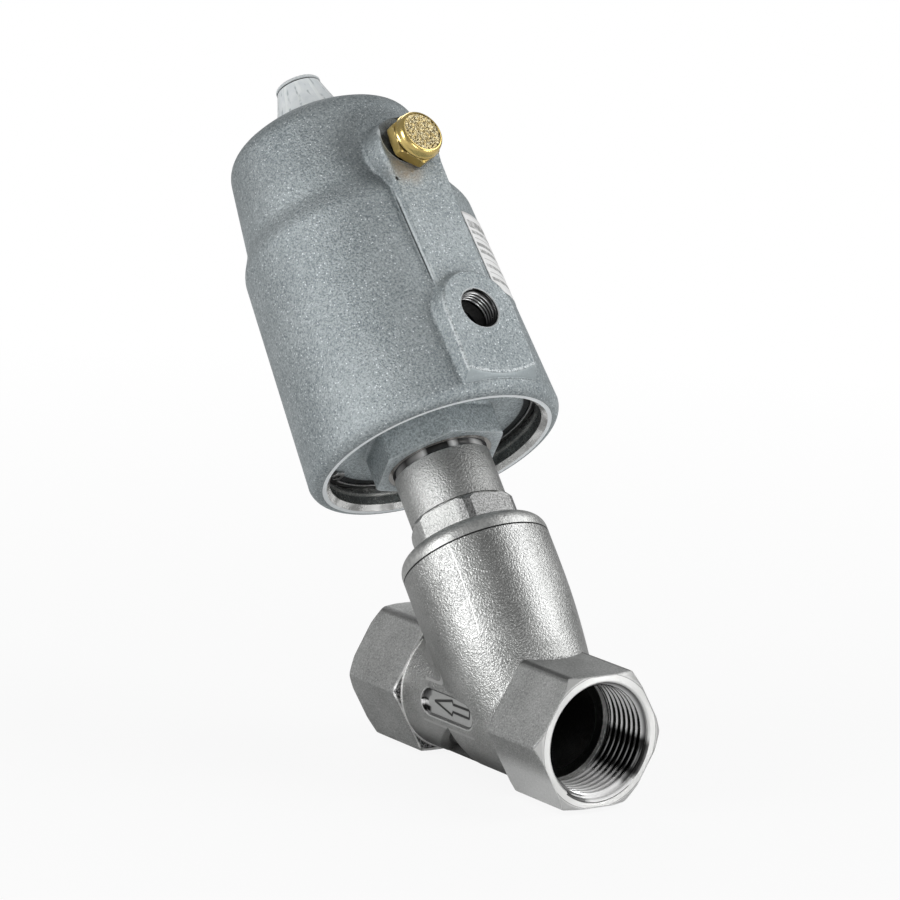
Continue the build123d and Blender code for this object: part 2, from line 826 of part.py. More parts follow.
with BuildPart() as actuator_housing:
    with BuildSketch(stem_section):
        with BuildLine():
            Line((0, rim_station), (rim_radius - rim_rounding, rim_station))
            RadiusArc((rim_radius - rim_rounding, rim_station), (rim_radius, rim_top), -rim_rounding)
            Line((rim_radius, rim_top), (skirt_top_radius, skirt_top))
            ThreePointArc(
                (skirt_top_radius, skirt_top),
                (skirt_top_radius - shoulder_set_in, skirt_top + 0.45 * shoulder_height),
                (upper_radius + upper_foot_flare, upper_bottom - upper_foot_height),
            )
            Polyline(
                (upper_radius + upper_foot_flare, upper_bottom - upper_foot_height),
                (upper_radius - upper_foot_flare, upper_bottom + upper_foot_height),
                (upper_top_radius, upper_top),
            )
            CenterArc((0, crown_centre), crown_radius, crown_angle, 90 - crown_angle)
            Line((0, crown_centre + crown_radius), (0, rim_station))
        make_face()
    revolve(axis=stem_axis)
    crown_edges = actuator_housing.edges().filter_by(
        lambda edge: edge.geom_type == GeomType.CIRCLE and abs(edge.radius - upper_top_radius) < 0.01
    )
    fillet(crown_edges, crown_rounding)
    add(rib.part)
    add(pilot_boss.part)
    # The lathe turns the rim true and cuts a ramp across the foot of the boss
    with BuildSketch(stem_section):
        with BuildLine():
            Polyline(
                (0, rim_station),
                (0, rim_station - rim_ramp_reach),
                (rim_radius + rim_ramp_reach, rim_station - rim_ramp_reach),
                (rim_radius + rim_ramp_reach, ramp_bottom + rim_ramp_slope * rim_ramp_reach),
                (rim_radius, ramp_bottom),
                (rim_radius, rim_top),
            )
            RadiusArc((rim_radius, rim_top), (rim_radius - rim_rounding, rim_station), rim_rounding)
            Line((rim_radius - rim_rounding, rim_station), (0, rim_station))
        make_face()
    revolve(axis=stem_axis, mode=Mode.SUBTRACT)
    revolve(
        section(
            (0, rim_station),
            (rim_mouth_radius, rim_station),
            (rim_mouth_radius - mouth_chamfer_width, rim_station + mouth_chamfer_height),
            (cover_bore_radius + mouth_land_step, groove_station - mouth_land_height),
            (cover_bore_radius, groove_station - mouth_land_height + mouth_lead_height),
            (cover_bore_radius, groove_station - wire_radius - ring_gap),
            (cover_bore_radius + wire_radius + ring_gap, groove_station - wire_radius - ring_gap),
            (cover_bore_radius + wire_radius + ring_gap, groove_station + wire_radius + ring_gap),
            (cover_bore_radius, groove_station + wire_radius + ring_gap),
            (cover_bore_radius, cover_top),
            (piston_bore_radius, cover_top),
            (piston_bore_radius, bore_end),
            (spring_chamber_radius, bore_end + bore_end_rise),
            (spring_chamber_radius, spring_seat),
            (crown_bore_radius, spring_seat),
            (crown_bore_radius - crown_bore_draft, indicator_seat - housing_wall),
            (0, indicator_seat - housing_wall),
        ),
        axis=stem_axis,
        mode=Mode.SUBTRACT,
    )
    # Flat seat and threaded hole for the indicator
    revolve(
        section(
            (0, spring_seat),
            (indicator_spigot_radius + thread_gap, spring_seat),
            (indicator_spigot_radius + thread_gap, indicator_seat),
            (indicator_flange_radius + indicator_seat_gap, indicator_seat),
            (indicator_flange_radius + indicator_seat_gap, indicator_top),
            (0, indicator_top),
        ),
        axis=stem_axis,
        mode=Mode.SUBTRACT,
    )
    # Pilot port into the chamber below the piston, exhaust port into the spring chamber
    for face, height, thread_depth in (
        (pilot_face, pilot_station, pilot_port_depth),
        (rib_face, exhaust_station, silencer_thread_length + silencer_bottom_gap),
    ):
        for radius, depth in ((pilot_port_radius, thread_depth), (port_bleed_radius, port_bleed_depth)):
            with BuildSketch(boss_plane.offset(face)):
                with Locations((0, height)):
                    Circle(radius)
            extrude(amount=-depth, mode=Mode.SUBTRACT)
actuator_housing.part.label = "actuator_housing"
export_step(actuator_housing.part, "parts/actuator_housing.step")

# Indicator: clear tapered dome screwed into the crown over its sealing ring
dome_groove_inner = indicator_spigot_radius + dome_groove_land
dome_groove_outer = indicator_flange_radius - dome_groove_lip
cap_bottom = indicator_top - dome_cap_height
with BuildPart() as indicator_dome:
    revolve(
        section(
            (0, indicator_seat - housing_wall),
            (indicator_spigot_radius, indicator_seat - housing_wall),
            (indicator_spigot_radius, indicator_seat),
            (dome_groove_inner, indicator_seat),
            (dome_groove_inner, indicator_seat + dome_groove_depth),
            (dome_groove_outer, indicator_seat + dome_groove_depth),
            (dome_groove_outer, indicator_seat),
            (indicator_flange_radius, indicator_seat),
            (indicator_flange_radius, indicator_seat + indicator_flange_height),
            (indicator_top_radius + dome_cap_flare, cap_bottom),
            (indicator_top_radius - dome_cap_groove, cap_bottom + dome_cap_groove),
            (indicator_top_radius, cap_bottom + 2 * dome_cap_groove),
            (indicator_top_radius, indicator_top - dome_cap_rounding),
            (indicator_top_radius - dome_cap_rounding, indicator_top),
            (0, indicator_top),
        ),
        axis=stem_axis,
    )
    revolve(
        section(
            (0, indicator_seat - housing_wall),
            (indicator_bore_radius, indicator_seat - housing_wall),
            (indicator_bore_radius, indicator_top - indicator_roof),
            (0, indicator_top - indicator_roof),
        ),
        axis=stem_axis,
        mode=Mode.SUBTRACT,
    )
indicator_dome.part.label = "indicator_dome"
export_step(indicator_dome.part, "parts/indicator_dome.step")

with BuildPart() as dome_o_ring:
    revolve(
        o_ring(dome_groove_inner, dome_groove_outer, indicator_seat, indicator_seat + dome_groove_depth),
        axis=stem_axis,
    )
dome_o_ring.part.label = "dome_o_ring"
export_step(dome_o_ring.part, "parts/dome_o_ring.step")

# Exhaust silencer: brass body screwed into the upper boss, with a sintered disc pressed in its mouth
exhaust_axis = Axis(boss_plane.from_local_coords((0, exhaust_station, 0)), boss_direction)
exhaust_section = Plane(origin=exhaust_axis.position, x_dir=stem_direction, z_dir=boss_side)
thread_end = rib_face - silencer_thread_length
hex_bottom = rib_face + silencer_foot_height
hex_top = hex_bottom + silencer_hex_height
collar_start = hex_top + silencer_groove_height
collar_end = collar_start + silencer_collar_height
disc_face = collar_end - silencer_disc_recess
disc_back = disc_face - silencer_disc_thickness
with BuildPart() as silencer_body:
    with BuildSketch(boss_plane.offset(hex_bottom)):
        with Locations((0, exhaust_station)):
            RegularPolygon(silencer_flats / 2, 6, major_radius=False, rotation=silencer_hex_turn)
    extrude(amount=silencer_hex_height)
    with BuildSketch(exhaust_section):
        with BuildLine():
            Polyline(
                (0, hex_bottom),
                (silencer_corner_radius - silencer_corner_turn, hex_bottom),
                (silencer_corner_radius, hex_bottom + silencer_corner_turn / 2),
                (silencer_corner_radius, hex_top - silencer_corner_turn / 2),
                (silencer_corner_radius - silencer_corner_turn, hex_top),
                (0, hex_top),
                close=True,
            )
        make_face()
    revolve(axis=exhaust_axis, mode=Mode.INTERSECT)
    with BuildSketch(exhaust_section):
        with BuildLine():
            Polyline(
                (0, thread_end),
                (pilot_port_radius - thread_gap, thread_end),
                (pilot_port_radius - thread_gap, rib_face),
                (silencer_foot_radius, rib_face),
                (silencer_foot_radius, hex_bottom),
                (silencer_groove_radius, hex_top),
                (silencer_groove_radius, collar_start),
                (silencer_collar_radius, collar_start),
                (silencer_collar_radius, collar_start + 0.3 * silencer_collar_height),
            )
            ThreePointArc(
                (silencer_collar_radius, collar_start + 0.3 * silencer_collar_height),
                (silencer_collar_radius - silencer_lip_width, collar_start + 0.7 * silencer_collar_height),
                (silencer_disc_radius + silencer_lip_width, collar_end),
            )
            Polyline(
                (silencer_disc_radius + silencer_lip_width, collar_end), (0, collar_end), (0, thread_end)
            )
        make_face()
    revolve(axis=exhaust_axis)
    with BuildSketch(exhaust_section):
        with BuildLine():
            Polyline(
                (0, thread_end),
                (port_bleed_radius, thread_end),
                (port_bleed_radius, disc_back),
                (silencer_disc_radius, disc_back),
                (silencer_disc_radius, collar_end),
                (0, collar_end),
                close=True,
            )
        make_face()
    revolve(axis=exhaust_axis, mode=Mode.SUBTRACT)
silencer_body.part.label = "silencer_body"
export_step(silencer_body.part, "parts/silencer_body.step")

with BuildPart() as silencer_disc:
    with BuildSketch(boss_plane.offset(disc_back)):
        with Locations((0, exhaust_station)):
            Circle(silencer_disc_radius)
    extrude(amount=silencer_disc_thickness)
silencer_disc.part.label = "silencer_disc"
export_step(silencer_disc.part, "parts/silencer_disc.step")

# Bare rating label, laid round the skirt beside the rib
label_turn = radians(label_start)
label_out = boss_direction * cos(label_turn) + boss_side * sin(label_turn)
label_section = Plane(
    origin=(crossing, 0, 0), x_dir=label_out, z_dir=label_out.cross(stem_direction)
)
with BuildPart() as rating_label:
    with BuildSketch(label_section):
        with BuildLine():
            Polyline(
                (skirt_radius(label_bottom), label_bottom),
                (skirt_radius(label_bottom) + label_thickness, label_bottom),
                (skirt_radius(label_top) + label_thickness, label_top),
                (skirt_radius(label_top), label_top),
                close=True,
            )
        make_face()
    revolve(axis=stem_axis, revolution_arc=label_angle)
rating_label.part.label = "rating_label"
export_step(rating_label.part, "parts/rating_label.step")

# Stem: guided rod with a smaller threaded end for the plug and another for the piston
hub_bottom = piston_bottom - piston_hub_rise
hub_top = piston_top + piston_hub_rise
hub_shoulder = hub_bottom + hub_socket_depth
nut_top = hub_top + piston_nut_height
stem_top = nut_top + pin_thread_length
stem_bottom = plug_nut_bottom - stem_end_reach
plug_shoulder = plug_top - plug_socket_depth
pin_top = indicator_top - indicator_roof - pin_end_gap - stroke
with BuildPart() as stem:
    revolve(
        section(
            (0, stem_bottom),
            (stem_end_radius - stem_end_chamfer, stem_bottom),
            (stem_end_radius, stem_bottom + stem_end_chamfer),
            (stem_end_radius, plug_shoulder),
            (stem_radius, plug_shoulder),
            (stem_radius, hub_shoulder),
            (stem_end_radius, hub_shoulder),
            (stem_end_radius, stem_top),
            (0, stem_top),
        ),
        axis=stem_axis,
    )
stem.part.label = "stem"
export_step(stem.part, "parts/stem.step")

# Plug with its soft seat seal, retaining washer and nut
with BuildPart() as valve_plug:
    revolve(
        section(
            (stem_end_radius + thread_gap, seal_top),
            (plug_radius, seal_top),
            (plug_radius, seal_top + plug_rim_height),
            (plug_radius - plug_shoulder_width, seal_top + plug_rim_height + plug_shoulder_height),
            (stem_radius + plug_neck_wall, plug_top),
            (stem_radius + thread_gap, plug_top),
            (stem_radius + thread_gap, plug_shoulder),
            (stem_end_radius + thread_gap, plug_shoulder),
        ),
        axis=stem_axis,
    )
valve_plug.part.label = "valve_plug"
export_step(valve_plug.part, "parts/valve_plug.step")

with BuildPart() as seat_seal:
    revolve(
        ring_section(stem_end_radius + thread_gap, seat_seal_radius, lip_station, seal_top),
        axis=stem_axis,
    )
seat_seal.part.label = "seat_seal"
export_step(seat_seal.part, "parts/seat_seal.step")

with BuildPart() as seal_washer:
    revolve(
        section(
            (stem_end_radius + thread_gap, washer_bottom),
            (seat_bore_radius - seal_washer_gap - seal_washer_bevel, washer_bottom),
            (seat_bore_radius - seal_washer_gap, lip_station),
            (stem_end_radius + thread_gap, lip_station),
        ),
        axis=stem_axis,
    )
seal_washer.part.label = "seal_washer"
export_step(seal_washer.part, "parts/seal_washer.step")

plug_nut = stem_nut(plug_nut_bottom, plug_nut_height)
plug_nut.part.label = "plug_nut"
export_step(plug_nut.part, "parts/plug_nut.step")

piston_nut = stem_nut(hub_top, piston_nut_height)
piston_nut.part.label = "piston_nut"
export_step(piston_nut.part, "parts/piston_nut.step")

# Piston with its hub, the pocket for the main spring and two grooves in its rim
piston_body_radius = piston_bore_radius - piston_radial_gap
relief_top = piston_bottom + piston_relief_depth
relief_radius = piston_body_radius - piston_rim_width
seal_low = piston_bottom + piston_land
seal_high = seal_low + piston_seal_height
guide_low = seal_high + piston_middle_land
guide_high = guide_low + guide_ring_height
pocket_floor = piston_top - spring_pocket_depth
pocket_outer = spring_radius + spring_wire_radius + spring_pocket_gap
pocket_inner = spring_radius - spring_wire_radius - spring_pocket_gap
with BuildPart() as piston:
    revolve(
        section(
            (stem_end_radius + thread_gap, hub_shoulder),
            (stem_radius + thread_gap, hub_shoulder),
            (stem_radius + thread_gap, hub_bottom),
            (piston_hub_radius, hub_bottom),
            (piston_hub_radius, relief_top),
            (relief_radius - piston_rim_draft, relief_top),
            (relief_radius, piston_bottom),
            (piston_body_radius, piston_bottom),
            (piston_body_radius, seal_low),
            (piston_body_radius - piston_seal_depth, seal_low),
            (piston_body_radius - piston_seal_depth, seal_high),
            (piston_body_radius, seal_high),
            (piston_body_radius, guide_low),
            (piston_body_radius - guide_ring_depth, guide_low),
            (piston_body_radius - guide_ring_depth, guide_high),
            (piston_body_radius, guide_high),
            (piston_body_radius, piston_top),
            (pocket_outer + spring_pocket_draft, piston_top),
            (pocket_outer, pocket_floor),
            (pocket_inner, pocket_floor),
            (pocket_inner - spring_pocket_draft, piston_top),
            (piston_hub_radius + piston_hub_draft, piston_top),
            (piston_hub_radius, hub_top),
            (stem_end_radius + thread_gap, hub_top),
        ),
        axis=stem_axis,
    )
piston.part.label = "piston"
export_step(piston.part, "parts/piston.step")

notch_outer = piston_body_radius - piston_notch_inset
with BuildPart() as piston_seal:
    revolve(
        section(
            (piston_body_radius - piston_seal_depth, seal_low),
            (notch_outer - piston_notch_width, seal_low),
            (notch_outer - piston_notch_width / 2, seal_low + piston_notch_depth),
            (notch_outer, seal_low),
            (piston_bore_radius - running_gap, seal_low),
            (piston_bore_radius - running_gap, seal_low + piston_lip_height),
            (piston_body_radius, seal_high),
            (piston_body_radius - piston_seal_depth, seal_high),
        ),
        axis=stem_axis,
    )
piston_seal.part.label = "piston_seal"
export_step(piston_seal.part, "parts/piston_seal.step")

with BuildPart() as piston_guide_ring:
    revolve(
        ring_section(
            piston_body_radius - guide_ring_depth,
            piston_bore_radius - running_gap,
            guide_low,
            guide_high,
        ),
        axis=stem_axis,
    )
piston_guide_ring.part.label = "piston_guide_ring"
export_step(piston_guide_ring.part, "parts/piston_guide_ring.step")

# Indicator pin on the end of the stem, which rises into the dome as the valve opens
pin_collar_radius = stem_end_radius + pin_collar_wall
pin_collar_top = nut_top + pin_collar_height
with BuildPart() as indicator_pin:
    revolve(
        section(
            (0, stem_top),
            (stem_end_radius, stem_top),
            (stem_end_radius, nut_top),
            (pin_collar_radius, nut_top),
            (pin_collar_radius, pin_collar_top),
            (pin_radius, pin_collar_top + pin_collar_slope),
            (pin_radius, pin_top - pin_end_chamfer),
            (pin_radius - pin_end_chamfer, pin_top),
            (0, pin_top),
        ),
        axis=stem_axis,
    )
indicator_pin.part.label = "indicator_pin"
export_step(indicator_pin.part, "parts/indicator_pin.step")

main_spring = coil(pocket_floor, spring_seat, spring_radius, spring_wire_radius, spring_turns)
main_spring.part.label = "main_spring"
export_step(main_spring.part, "parts/main_spring.step")
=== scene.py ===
"""Angle-seat shut-off valve with a spring-return piston actuator, dressed for a studio picture.

The line lies along X from the inlet face at the origin. The stem leans towards the outlet, and round
pieces on it are placed by their station, the distance along the stem axis from where it crosses the line.
Lengths are in millimetres until a mesh or a shader takes them.
"""

import bpy
import math
import numpy as np
from functools import partialmethod
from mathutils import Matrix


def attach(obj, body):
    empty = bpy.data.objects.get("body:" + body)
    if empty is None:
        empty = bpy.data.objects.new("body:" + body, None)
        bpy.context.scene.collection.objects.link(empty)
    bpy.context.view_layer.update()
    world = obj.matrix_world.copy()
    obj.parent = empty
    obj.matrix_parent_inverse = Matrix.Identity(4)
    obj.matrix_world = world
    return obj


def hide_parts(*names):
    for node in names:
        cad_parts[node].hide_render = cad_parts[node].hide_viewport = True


bl_info = {
    "name": "Angle-seat shut-off valve",
    "version": (1, 0, 0),
    "blender": (4, 2, 0),
    "location": "3D View > Sidebar > Shut-off valve",
    "description": "Builds the castings, threads, silencer, dome and finishes of an angle-seat valve",
    "category": "Object",
}

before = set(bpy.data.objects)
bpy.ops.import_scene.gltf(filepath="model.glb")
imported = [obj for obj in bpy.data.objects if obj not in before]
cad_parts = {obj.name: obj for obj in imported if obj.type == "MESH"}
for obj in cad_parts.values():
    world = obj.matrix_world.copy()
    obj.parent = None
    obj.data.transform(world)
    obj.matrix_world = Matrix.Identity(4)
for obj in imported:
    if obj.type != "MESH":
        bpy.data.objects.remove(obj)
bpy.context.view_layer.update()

MM = 0.001

# Axes: an origin, a direction and the two directions across it
LEAN = math.radians(50.0)
TURN = math.radians(4.6)
CROSSING = np.array([24.1, 0.0, 0.0])
STEM = np.array([math.cos(LEAN), 0.0, math.sin(LEAN)])
BOSS = np.array([-math.sin(LEAN) * math.cos(TURN), -math.sin(TURN), math.cos(LEAN) * math.cos(TURN)])
SIDE = np.array([math.sin(LEAN) * math.sin(TURN), -math.cos(TURN), -math.cos(LEAN) * math.sin(TURN)])
SPINDLE = (CROSSING, STEM, BOSS, SIDE)
FACE_TO_FACE = 75.0
LINE = (np.zeros(3), np.array([1.0, 0, 0]), np.array([0, 1.0, 0]), np.array([0, 0, 1.0]))
OUTLET = (np.array([FACE_TO_FACE, 0, 0]), np.array([-1.0, 0, 0]), np.array([0, 1.0, 0]), np.array([0, 0, -1.0]))

# Housing: stations along the stem, then distances from it
RIM_STATION, RAMP_BOTTOM, RIM_TOP = 66.6, 69.0, 69.7
COVER_TOP, BORE_END, SKIRT_TOP, UPPER_TOP = 79.3, 118.5, 121.3, 149.4
SIDE_END = 146.2
PILOT_STATION, EXHAUST_STATION = 87.2, 131.3
SKIRT_RADIUS, RIM_EDGE, BORE_RADIUS = 30.2, 27.6, 25.0
SKIRT_TAPER = 0.0491
RAMP_RUN = 1.25
RIB_FACE, RIB_HALF_WIDTH, RIB_HEAD_RADIUS = 28.7, 7.6, 8.0
RIB_DRAFT = math.radians(9.0)
BOSS_FACE, BOSS_HALF_WIDTH = 31.3, 9.7
BOSS_DRAFT = math.radians(11.5)
PORT_RADIUS, BLEED_RADIUS, DOME_HOLE_RADIUS = 4.86, 2.5, 6.05
CROWN_RADIUS, CROWN_EDGE = 37.9, 22.35
CROWN_CENTRE = UPPER_TOP - 0.2 - math.sqrt(CROWN_RADIUS ** 2 - CROWN_EDGE ** 2)
RECESS = CROSSING + 133.1 * STEM - 0.9 * SIDE

# Silencer, dome, spring ring and label
SILENCER_STATION = EXHAUST_STATION + 0.35
DISC_RADIUS, DISC_LEVEL = 4.71, 34.5
DOME_SEAT = CROWN_CENTRE + math.sqrt(CROWN_RADIUS ** 2 - 9.1 ** 2)
DOME_TOP = DOME_SEAT + 10.75
DOME_LINE = DOME_TOP - 1.55
RING_OUTER, RING_INNER, RING_STATION, RING_GAP = 26.0, 24.6, 72.22, math.radians(30.0)
EYE_TURN = math.radians(-144.0)
EYE_RADIUS, EYE_BOSS, EYE_HOLE = 23.9, 2.0, 0.95
LABEL_BOTTOM, LABEL_TOP = COVER_TOP + 15.0, COVER_TOP + 36.2

# Valve body: half the width over the flats, distances from the middle of the line, distances from the line,
# the pad's face and the arrow cut in it. Bonnet: stations where its branch, collar, hexagon and shank end
HEX_HALF = 15.0
HEX_START, BORE_STOP = 18.5, 22.0
BORE_WALL = 13.9
PAD_FACE = 13.8
BRANCH_TOP, COLLAR_TOP, HEXAGON_TOP, SHANK_TOP = 39.5, 44.4, 50.75, 63.2
PIPE_ROOT, PIPE_CREST, PIPE_PITCH = 13.22, 12.12, 1.814
ARROW = np.array([
    (43.9, 0, 0.4), (37.3, 0, 1.9), (36.9, 0, 1.15), (30.4, 0, 1.25), (30.45, 0, -0.6), (36.8, 0, -0.55),
    (37.1, 0, -1.4), (43.9, 0, 0.4),
])
PAD_LINE = np.array([(30.9, 0, 0), (45.1, 0, 0)])

# Looks: how metallic the cast skin is, the direction across the stem that runs to the right in the picture,
# the floor, and the camera fitted to the photograph, in metres and degrees
CAST_METAL = 0.52
# PICTURE_RIGHT lays painted reflections and shade across round pieces on the stem
PICTURE_RIGHT = (-0.461, -0.799, 0.386)
FLOOR_LEVEL = -0.016
CAMERA_LENS = 211.905
CAMERA_PLACE = (-0.899040, 0.675898, 0.297487)
CAMERA_DEGREES = (78.24323, -2.46388, -124.60433)


# Surfaces

def on_axis(axis, along, radius, angle):
    """Points round an axis: origin + along * direction + radius * (cos(angle) first + sin(angle) second)."""
    origin, direction, first, second = axis
    along, radius, angle = np.broadcast_arrays(along, radius, angle)
    return (
        origin
        + along[..., None] * direction
        + (radius * np.cos(angle))[..., None] * first
        + (radius * np.sin(angle))[..., None] * second
    )


def full_turn(count):
    """Row of angles once round, without the last, which is the first again."""
    return np.linspace(0, 2 * np.pi, count, endpoint=False)[None, :]


def revolved(axis, outline, angle):
    """Points of an outline of (radius, station) turned round an axis."""
    outline = np.array(outline)
    return on_axis(axis, outline[:, 1:2], outline[:, 0:1], angle)


def surface(name, points, close_rows=False, close_columns=False, flip=False, uv=None, caps=()):
    """Mesh object from a grid of points in millimetres: cell (i, j) joins points i, i+1 and j, j+1.

    caps names the rows, 0 or -1, that a fan to their middle closes.
    """
    rows, columns = points.shape[:2]
    index = np.arange(rows * columns).reshape(rows, columns)
    row = np.arange(rows if close_rows else rows - 1)
    column = np.arange(columns if close_columns else columns - 1)
    i, j = np.meshgrid(row, column, indexing="ij")
    up, over = (i + 1) % rows, (j + 1) % columns
    quads = np.stack([index[i, j], index[i, over], index[up, over], index[up, j]], axis=-1).reshape(-1, 4)
    vertices = points.reshape(-1, 3)
    triangles = np.zeros((0, 3), int)
    for cap in caps:
        ring = index[cap]
        vertices = np.vstack([vertices, points[cap].mean(axis=0)])
        middle = np.full(len(ring), len(vertices) - 1)
        fan = np.stack([ring, np.roll(ring, -1), middle], axis=-1)
        triangles = np.vstack([triangles, fan[:, ::-1] if cap == 0 else fan])
    if flip:
        quads, triangles = quads[:, ::-1], triangles[:, ::-1]
    mesh = bpy.data.meshes.new(name)
    mesh.vertices.add(len(vertices))
    mesh.vertices.foreach_set("co", (vertices * MM).ravel())
    loops = np.concatenate([quads.ravel(), triangles.ravel()])
    sizes = np.concatenate([np.full(len(quads), 4), np.full(len(triangles), 3)])
    mesh.loops.add(len(loops))
    mesh.loops.foreach_set("vertex_index", loops)
    mesh.polygons.add(len(sizes))
    mesh.polygons.foreach_set("loop_start", np.concatenate([[0], np.cumsum(sizes)[:-1]]))
    mesh.polygons.foreach_set("loop_total", sizes)
    mesh.polygons.foreach_set("use_smooth", np.ones(len(sizes), bool))
    mesh.update(calc_edges=True)
    mesh.validate()
    if uv is not None:
        layer = mesh.uv_layers.new(name="plan")
        layer.data.foreach_set("uv", uv.reshape(-1, 2)[loops].ravel())
    piece = bpy.data.objects.new(name, mesh)
    bpy.context.scene.collection.objects.link(piece)
    return piece


def rounded(outline, radius, steps=4):
    """Outline with each corner replaced by a quadratic curve between points at that distance from it."""
    outline = np.array(outline, float)
    count = len(outline)
    before, after = np.roll(outline, 1, axis=0) - outline, np.roll(outline, -1, axis=0) - outline
    lengths = np.linalg.norm(before, axis=1), np.linalg.norm(after, axis=1)
    reach = np.minimum(radius, 0.45 * np.minimum(*lengths))[:, None]
    start = outline + reach * before / lengths[0][:, None]
    end = outline + reach * after / lengths[1][:, None]
    t = np.linspace(0, 1, steps)[None, :, None]
    curve = (1 - t) ** 2 * start[:, None] + 2 * t * (1 - t) * outline[:, None] + t ** 2 * end[:, None]
    return curve.reshape(count * steps, 2)


def smooth_max(a, b, blend):
    """Larger of two fields, rounded over where they differ by less than blend."""
    share = np.clip(0.5 + 0.5 * (a - b) / blend, 0, 1)
    return b + (a - b) * share + blend * share * (1 - share)


def smooth_min(a, b, blend):
    """Smaller of two fields, with a fillet where they differ by less than blend."""
    return -smooth_max(-a, -b, blend)


def carve(piece, *cutters):
    """Cuts closed pieces out of a piece and removes them."""
    for cutter in cutters:
        cut = piece.modifiers.new("cut", "BOOLEAN")
        cut.operation = "DIFFERENCE"
        cut.solver = "EXACT"
        cut.object = cutter
    graph = bpy.context.evaluated_depsgraph_get()
    carved = bpy.data.meshes.new_from_object(piece.evaluated_get(graph))
    piece.modifiers.clear()
    piece.data = carved
    for cutter in cutters:
        bpy.data.objects.remove(cutter)


def crisp(piece, degrees=38.0):
    """Smooth shading that breaks at edges sharper than the angle."""
    piece.data.shade_smooth()
    piece.data.set_sharp_from_angle(angle=math.radians(degrees))


# Castings

def skirt_profile(station):
    """Outer radius of the bare housing: skirt, rounded shoulder and tapered upper part, softened by averaging."""
    bottom, straight, upper, top = 60.0, 68.4, 130.7, 160.0
    fine = np.arange(bottom, top, 0.05)
    turn = np.linspace(0, 1, 12)
    arc = np.stack([27.6 - 2.7 * turn - 0.9 * np.sin(np.pi * turn) * (turn - 0.62), SKIRT_TOP + 7.0 * turn])
    upper_radius, upper_taper = 24.6, 2.25 / 18.7
    heights = np.concatenate([[bottom, straight], arc[1], [upper, top]])
    ends = [upper_radius, upper_radius - (top - upper) * upper_taper]
    raw = np.interp(fine, heights, np.concatenate([[SKIRT_RADIUS, SKIRT_RADIUS], arc[0], ends]))
    window = np.hanning(23)
    soft = np.convolve(np.pad(raw, 11, mode="edge"), window / window.sum(), mode="valid")
    return np.interp(station, fine, soft)


def housing_field(radius, angle, station):
    """Signed field of the housing outside, negative in the metal: skirt, rib and pilot boss joined with fillets.

    The rib and the boss are flat faces with drafted sides and round ends, and the lathe's ramp cuts their feet.
    """
    out, across = radius * np.cos(angle), np.abs(radius * np.sin(angle))
    skirt = radius - skirt_profile(station)
    rise = (RIB_FACE - out) * math.tan(RIB_DRAFT)
    ribs = np.maximum(across - RIB_HALF_WIDTH, station - EXHAUST_STATION)
    head = np.hypot(across, station - EXHAUST_STATION) - RIB_HEAD_RADIUS
    rib = smooth_max(out - RIB_FACE, smooth_min(ribs, head, 0.8) - rise, 0.4)
    fall = (BOSS_FACE - out) * math.tan(BOSS_DRAFT)
    arch = np.hypot(across, np.maximum(station - PILOT_STATION, 0)) - BOSS_HALF_WIDTH
    boss = smooth_max(out - BOSS_FACE, arch - fall, 0.5)
    ramp = radius - SKIRT_RADIUS - np.maximum(station - RAMP_BOTTOM, 0) / RAMP_RUN
    features = np.maximum(smooth_max(smooth_min(rib, boss, 1.1), ramp, 0.35), 12.0 - out)
    return smooth_min(skirt, features, 0.6)


def housing_radius(angle, station):
    """Radius at which the field crosses zero, found by halving the interval on the whole grid at once."""
    low = skirt_profile(station) - 1.0 + 0 * angle
    high = np.full_like(low, 44.0)
    for _ in range(26):
        middle = (low + high) / 2
        inside = housing_field(middle, angle, station) < 0
        low, high = np.where(inside, middle, low), np.where(inside, high, middle)
    return (low + high) / 2


def spaced(low, high, step, windows, fine):
    """Values from low to high, at step apart, and at fine apart inside the windows."""
    values = [low]
    while values[-1] < high - 0.5 * fine:
        near = any(a - step < values[-1] < b for a, b in windows)
        values.append(min(values[-1] + (fine if near else step), high))
    return np.array(values)


def at_boss(station):
    """Axis of a port in the housing, pointing outwards at a station."""
    return (CROSSING + station * STEM, BOSS, SIDE, STEM)


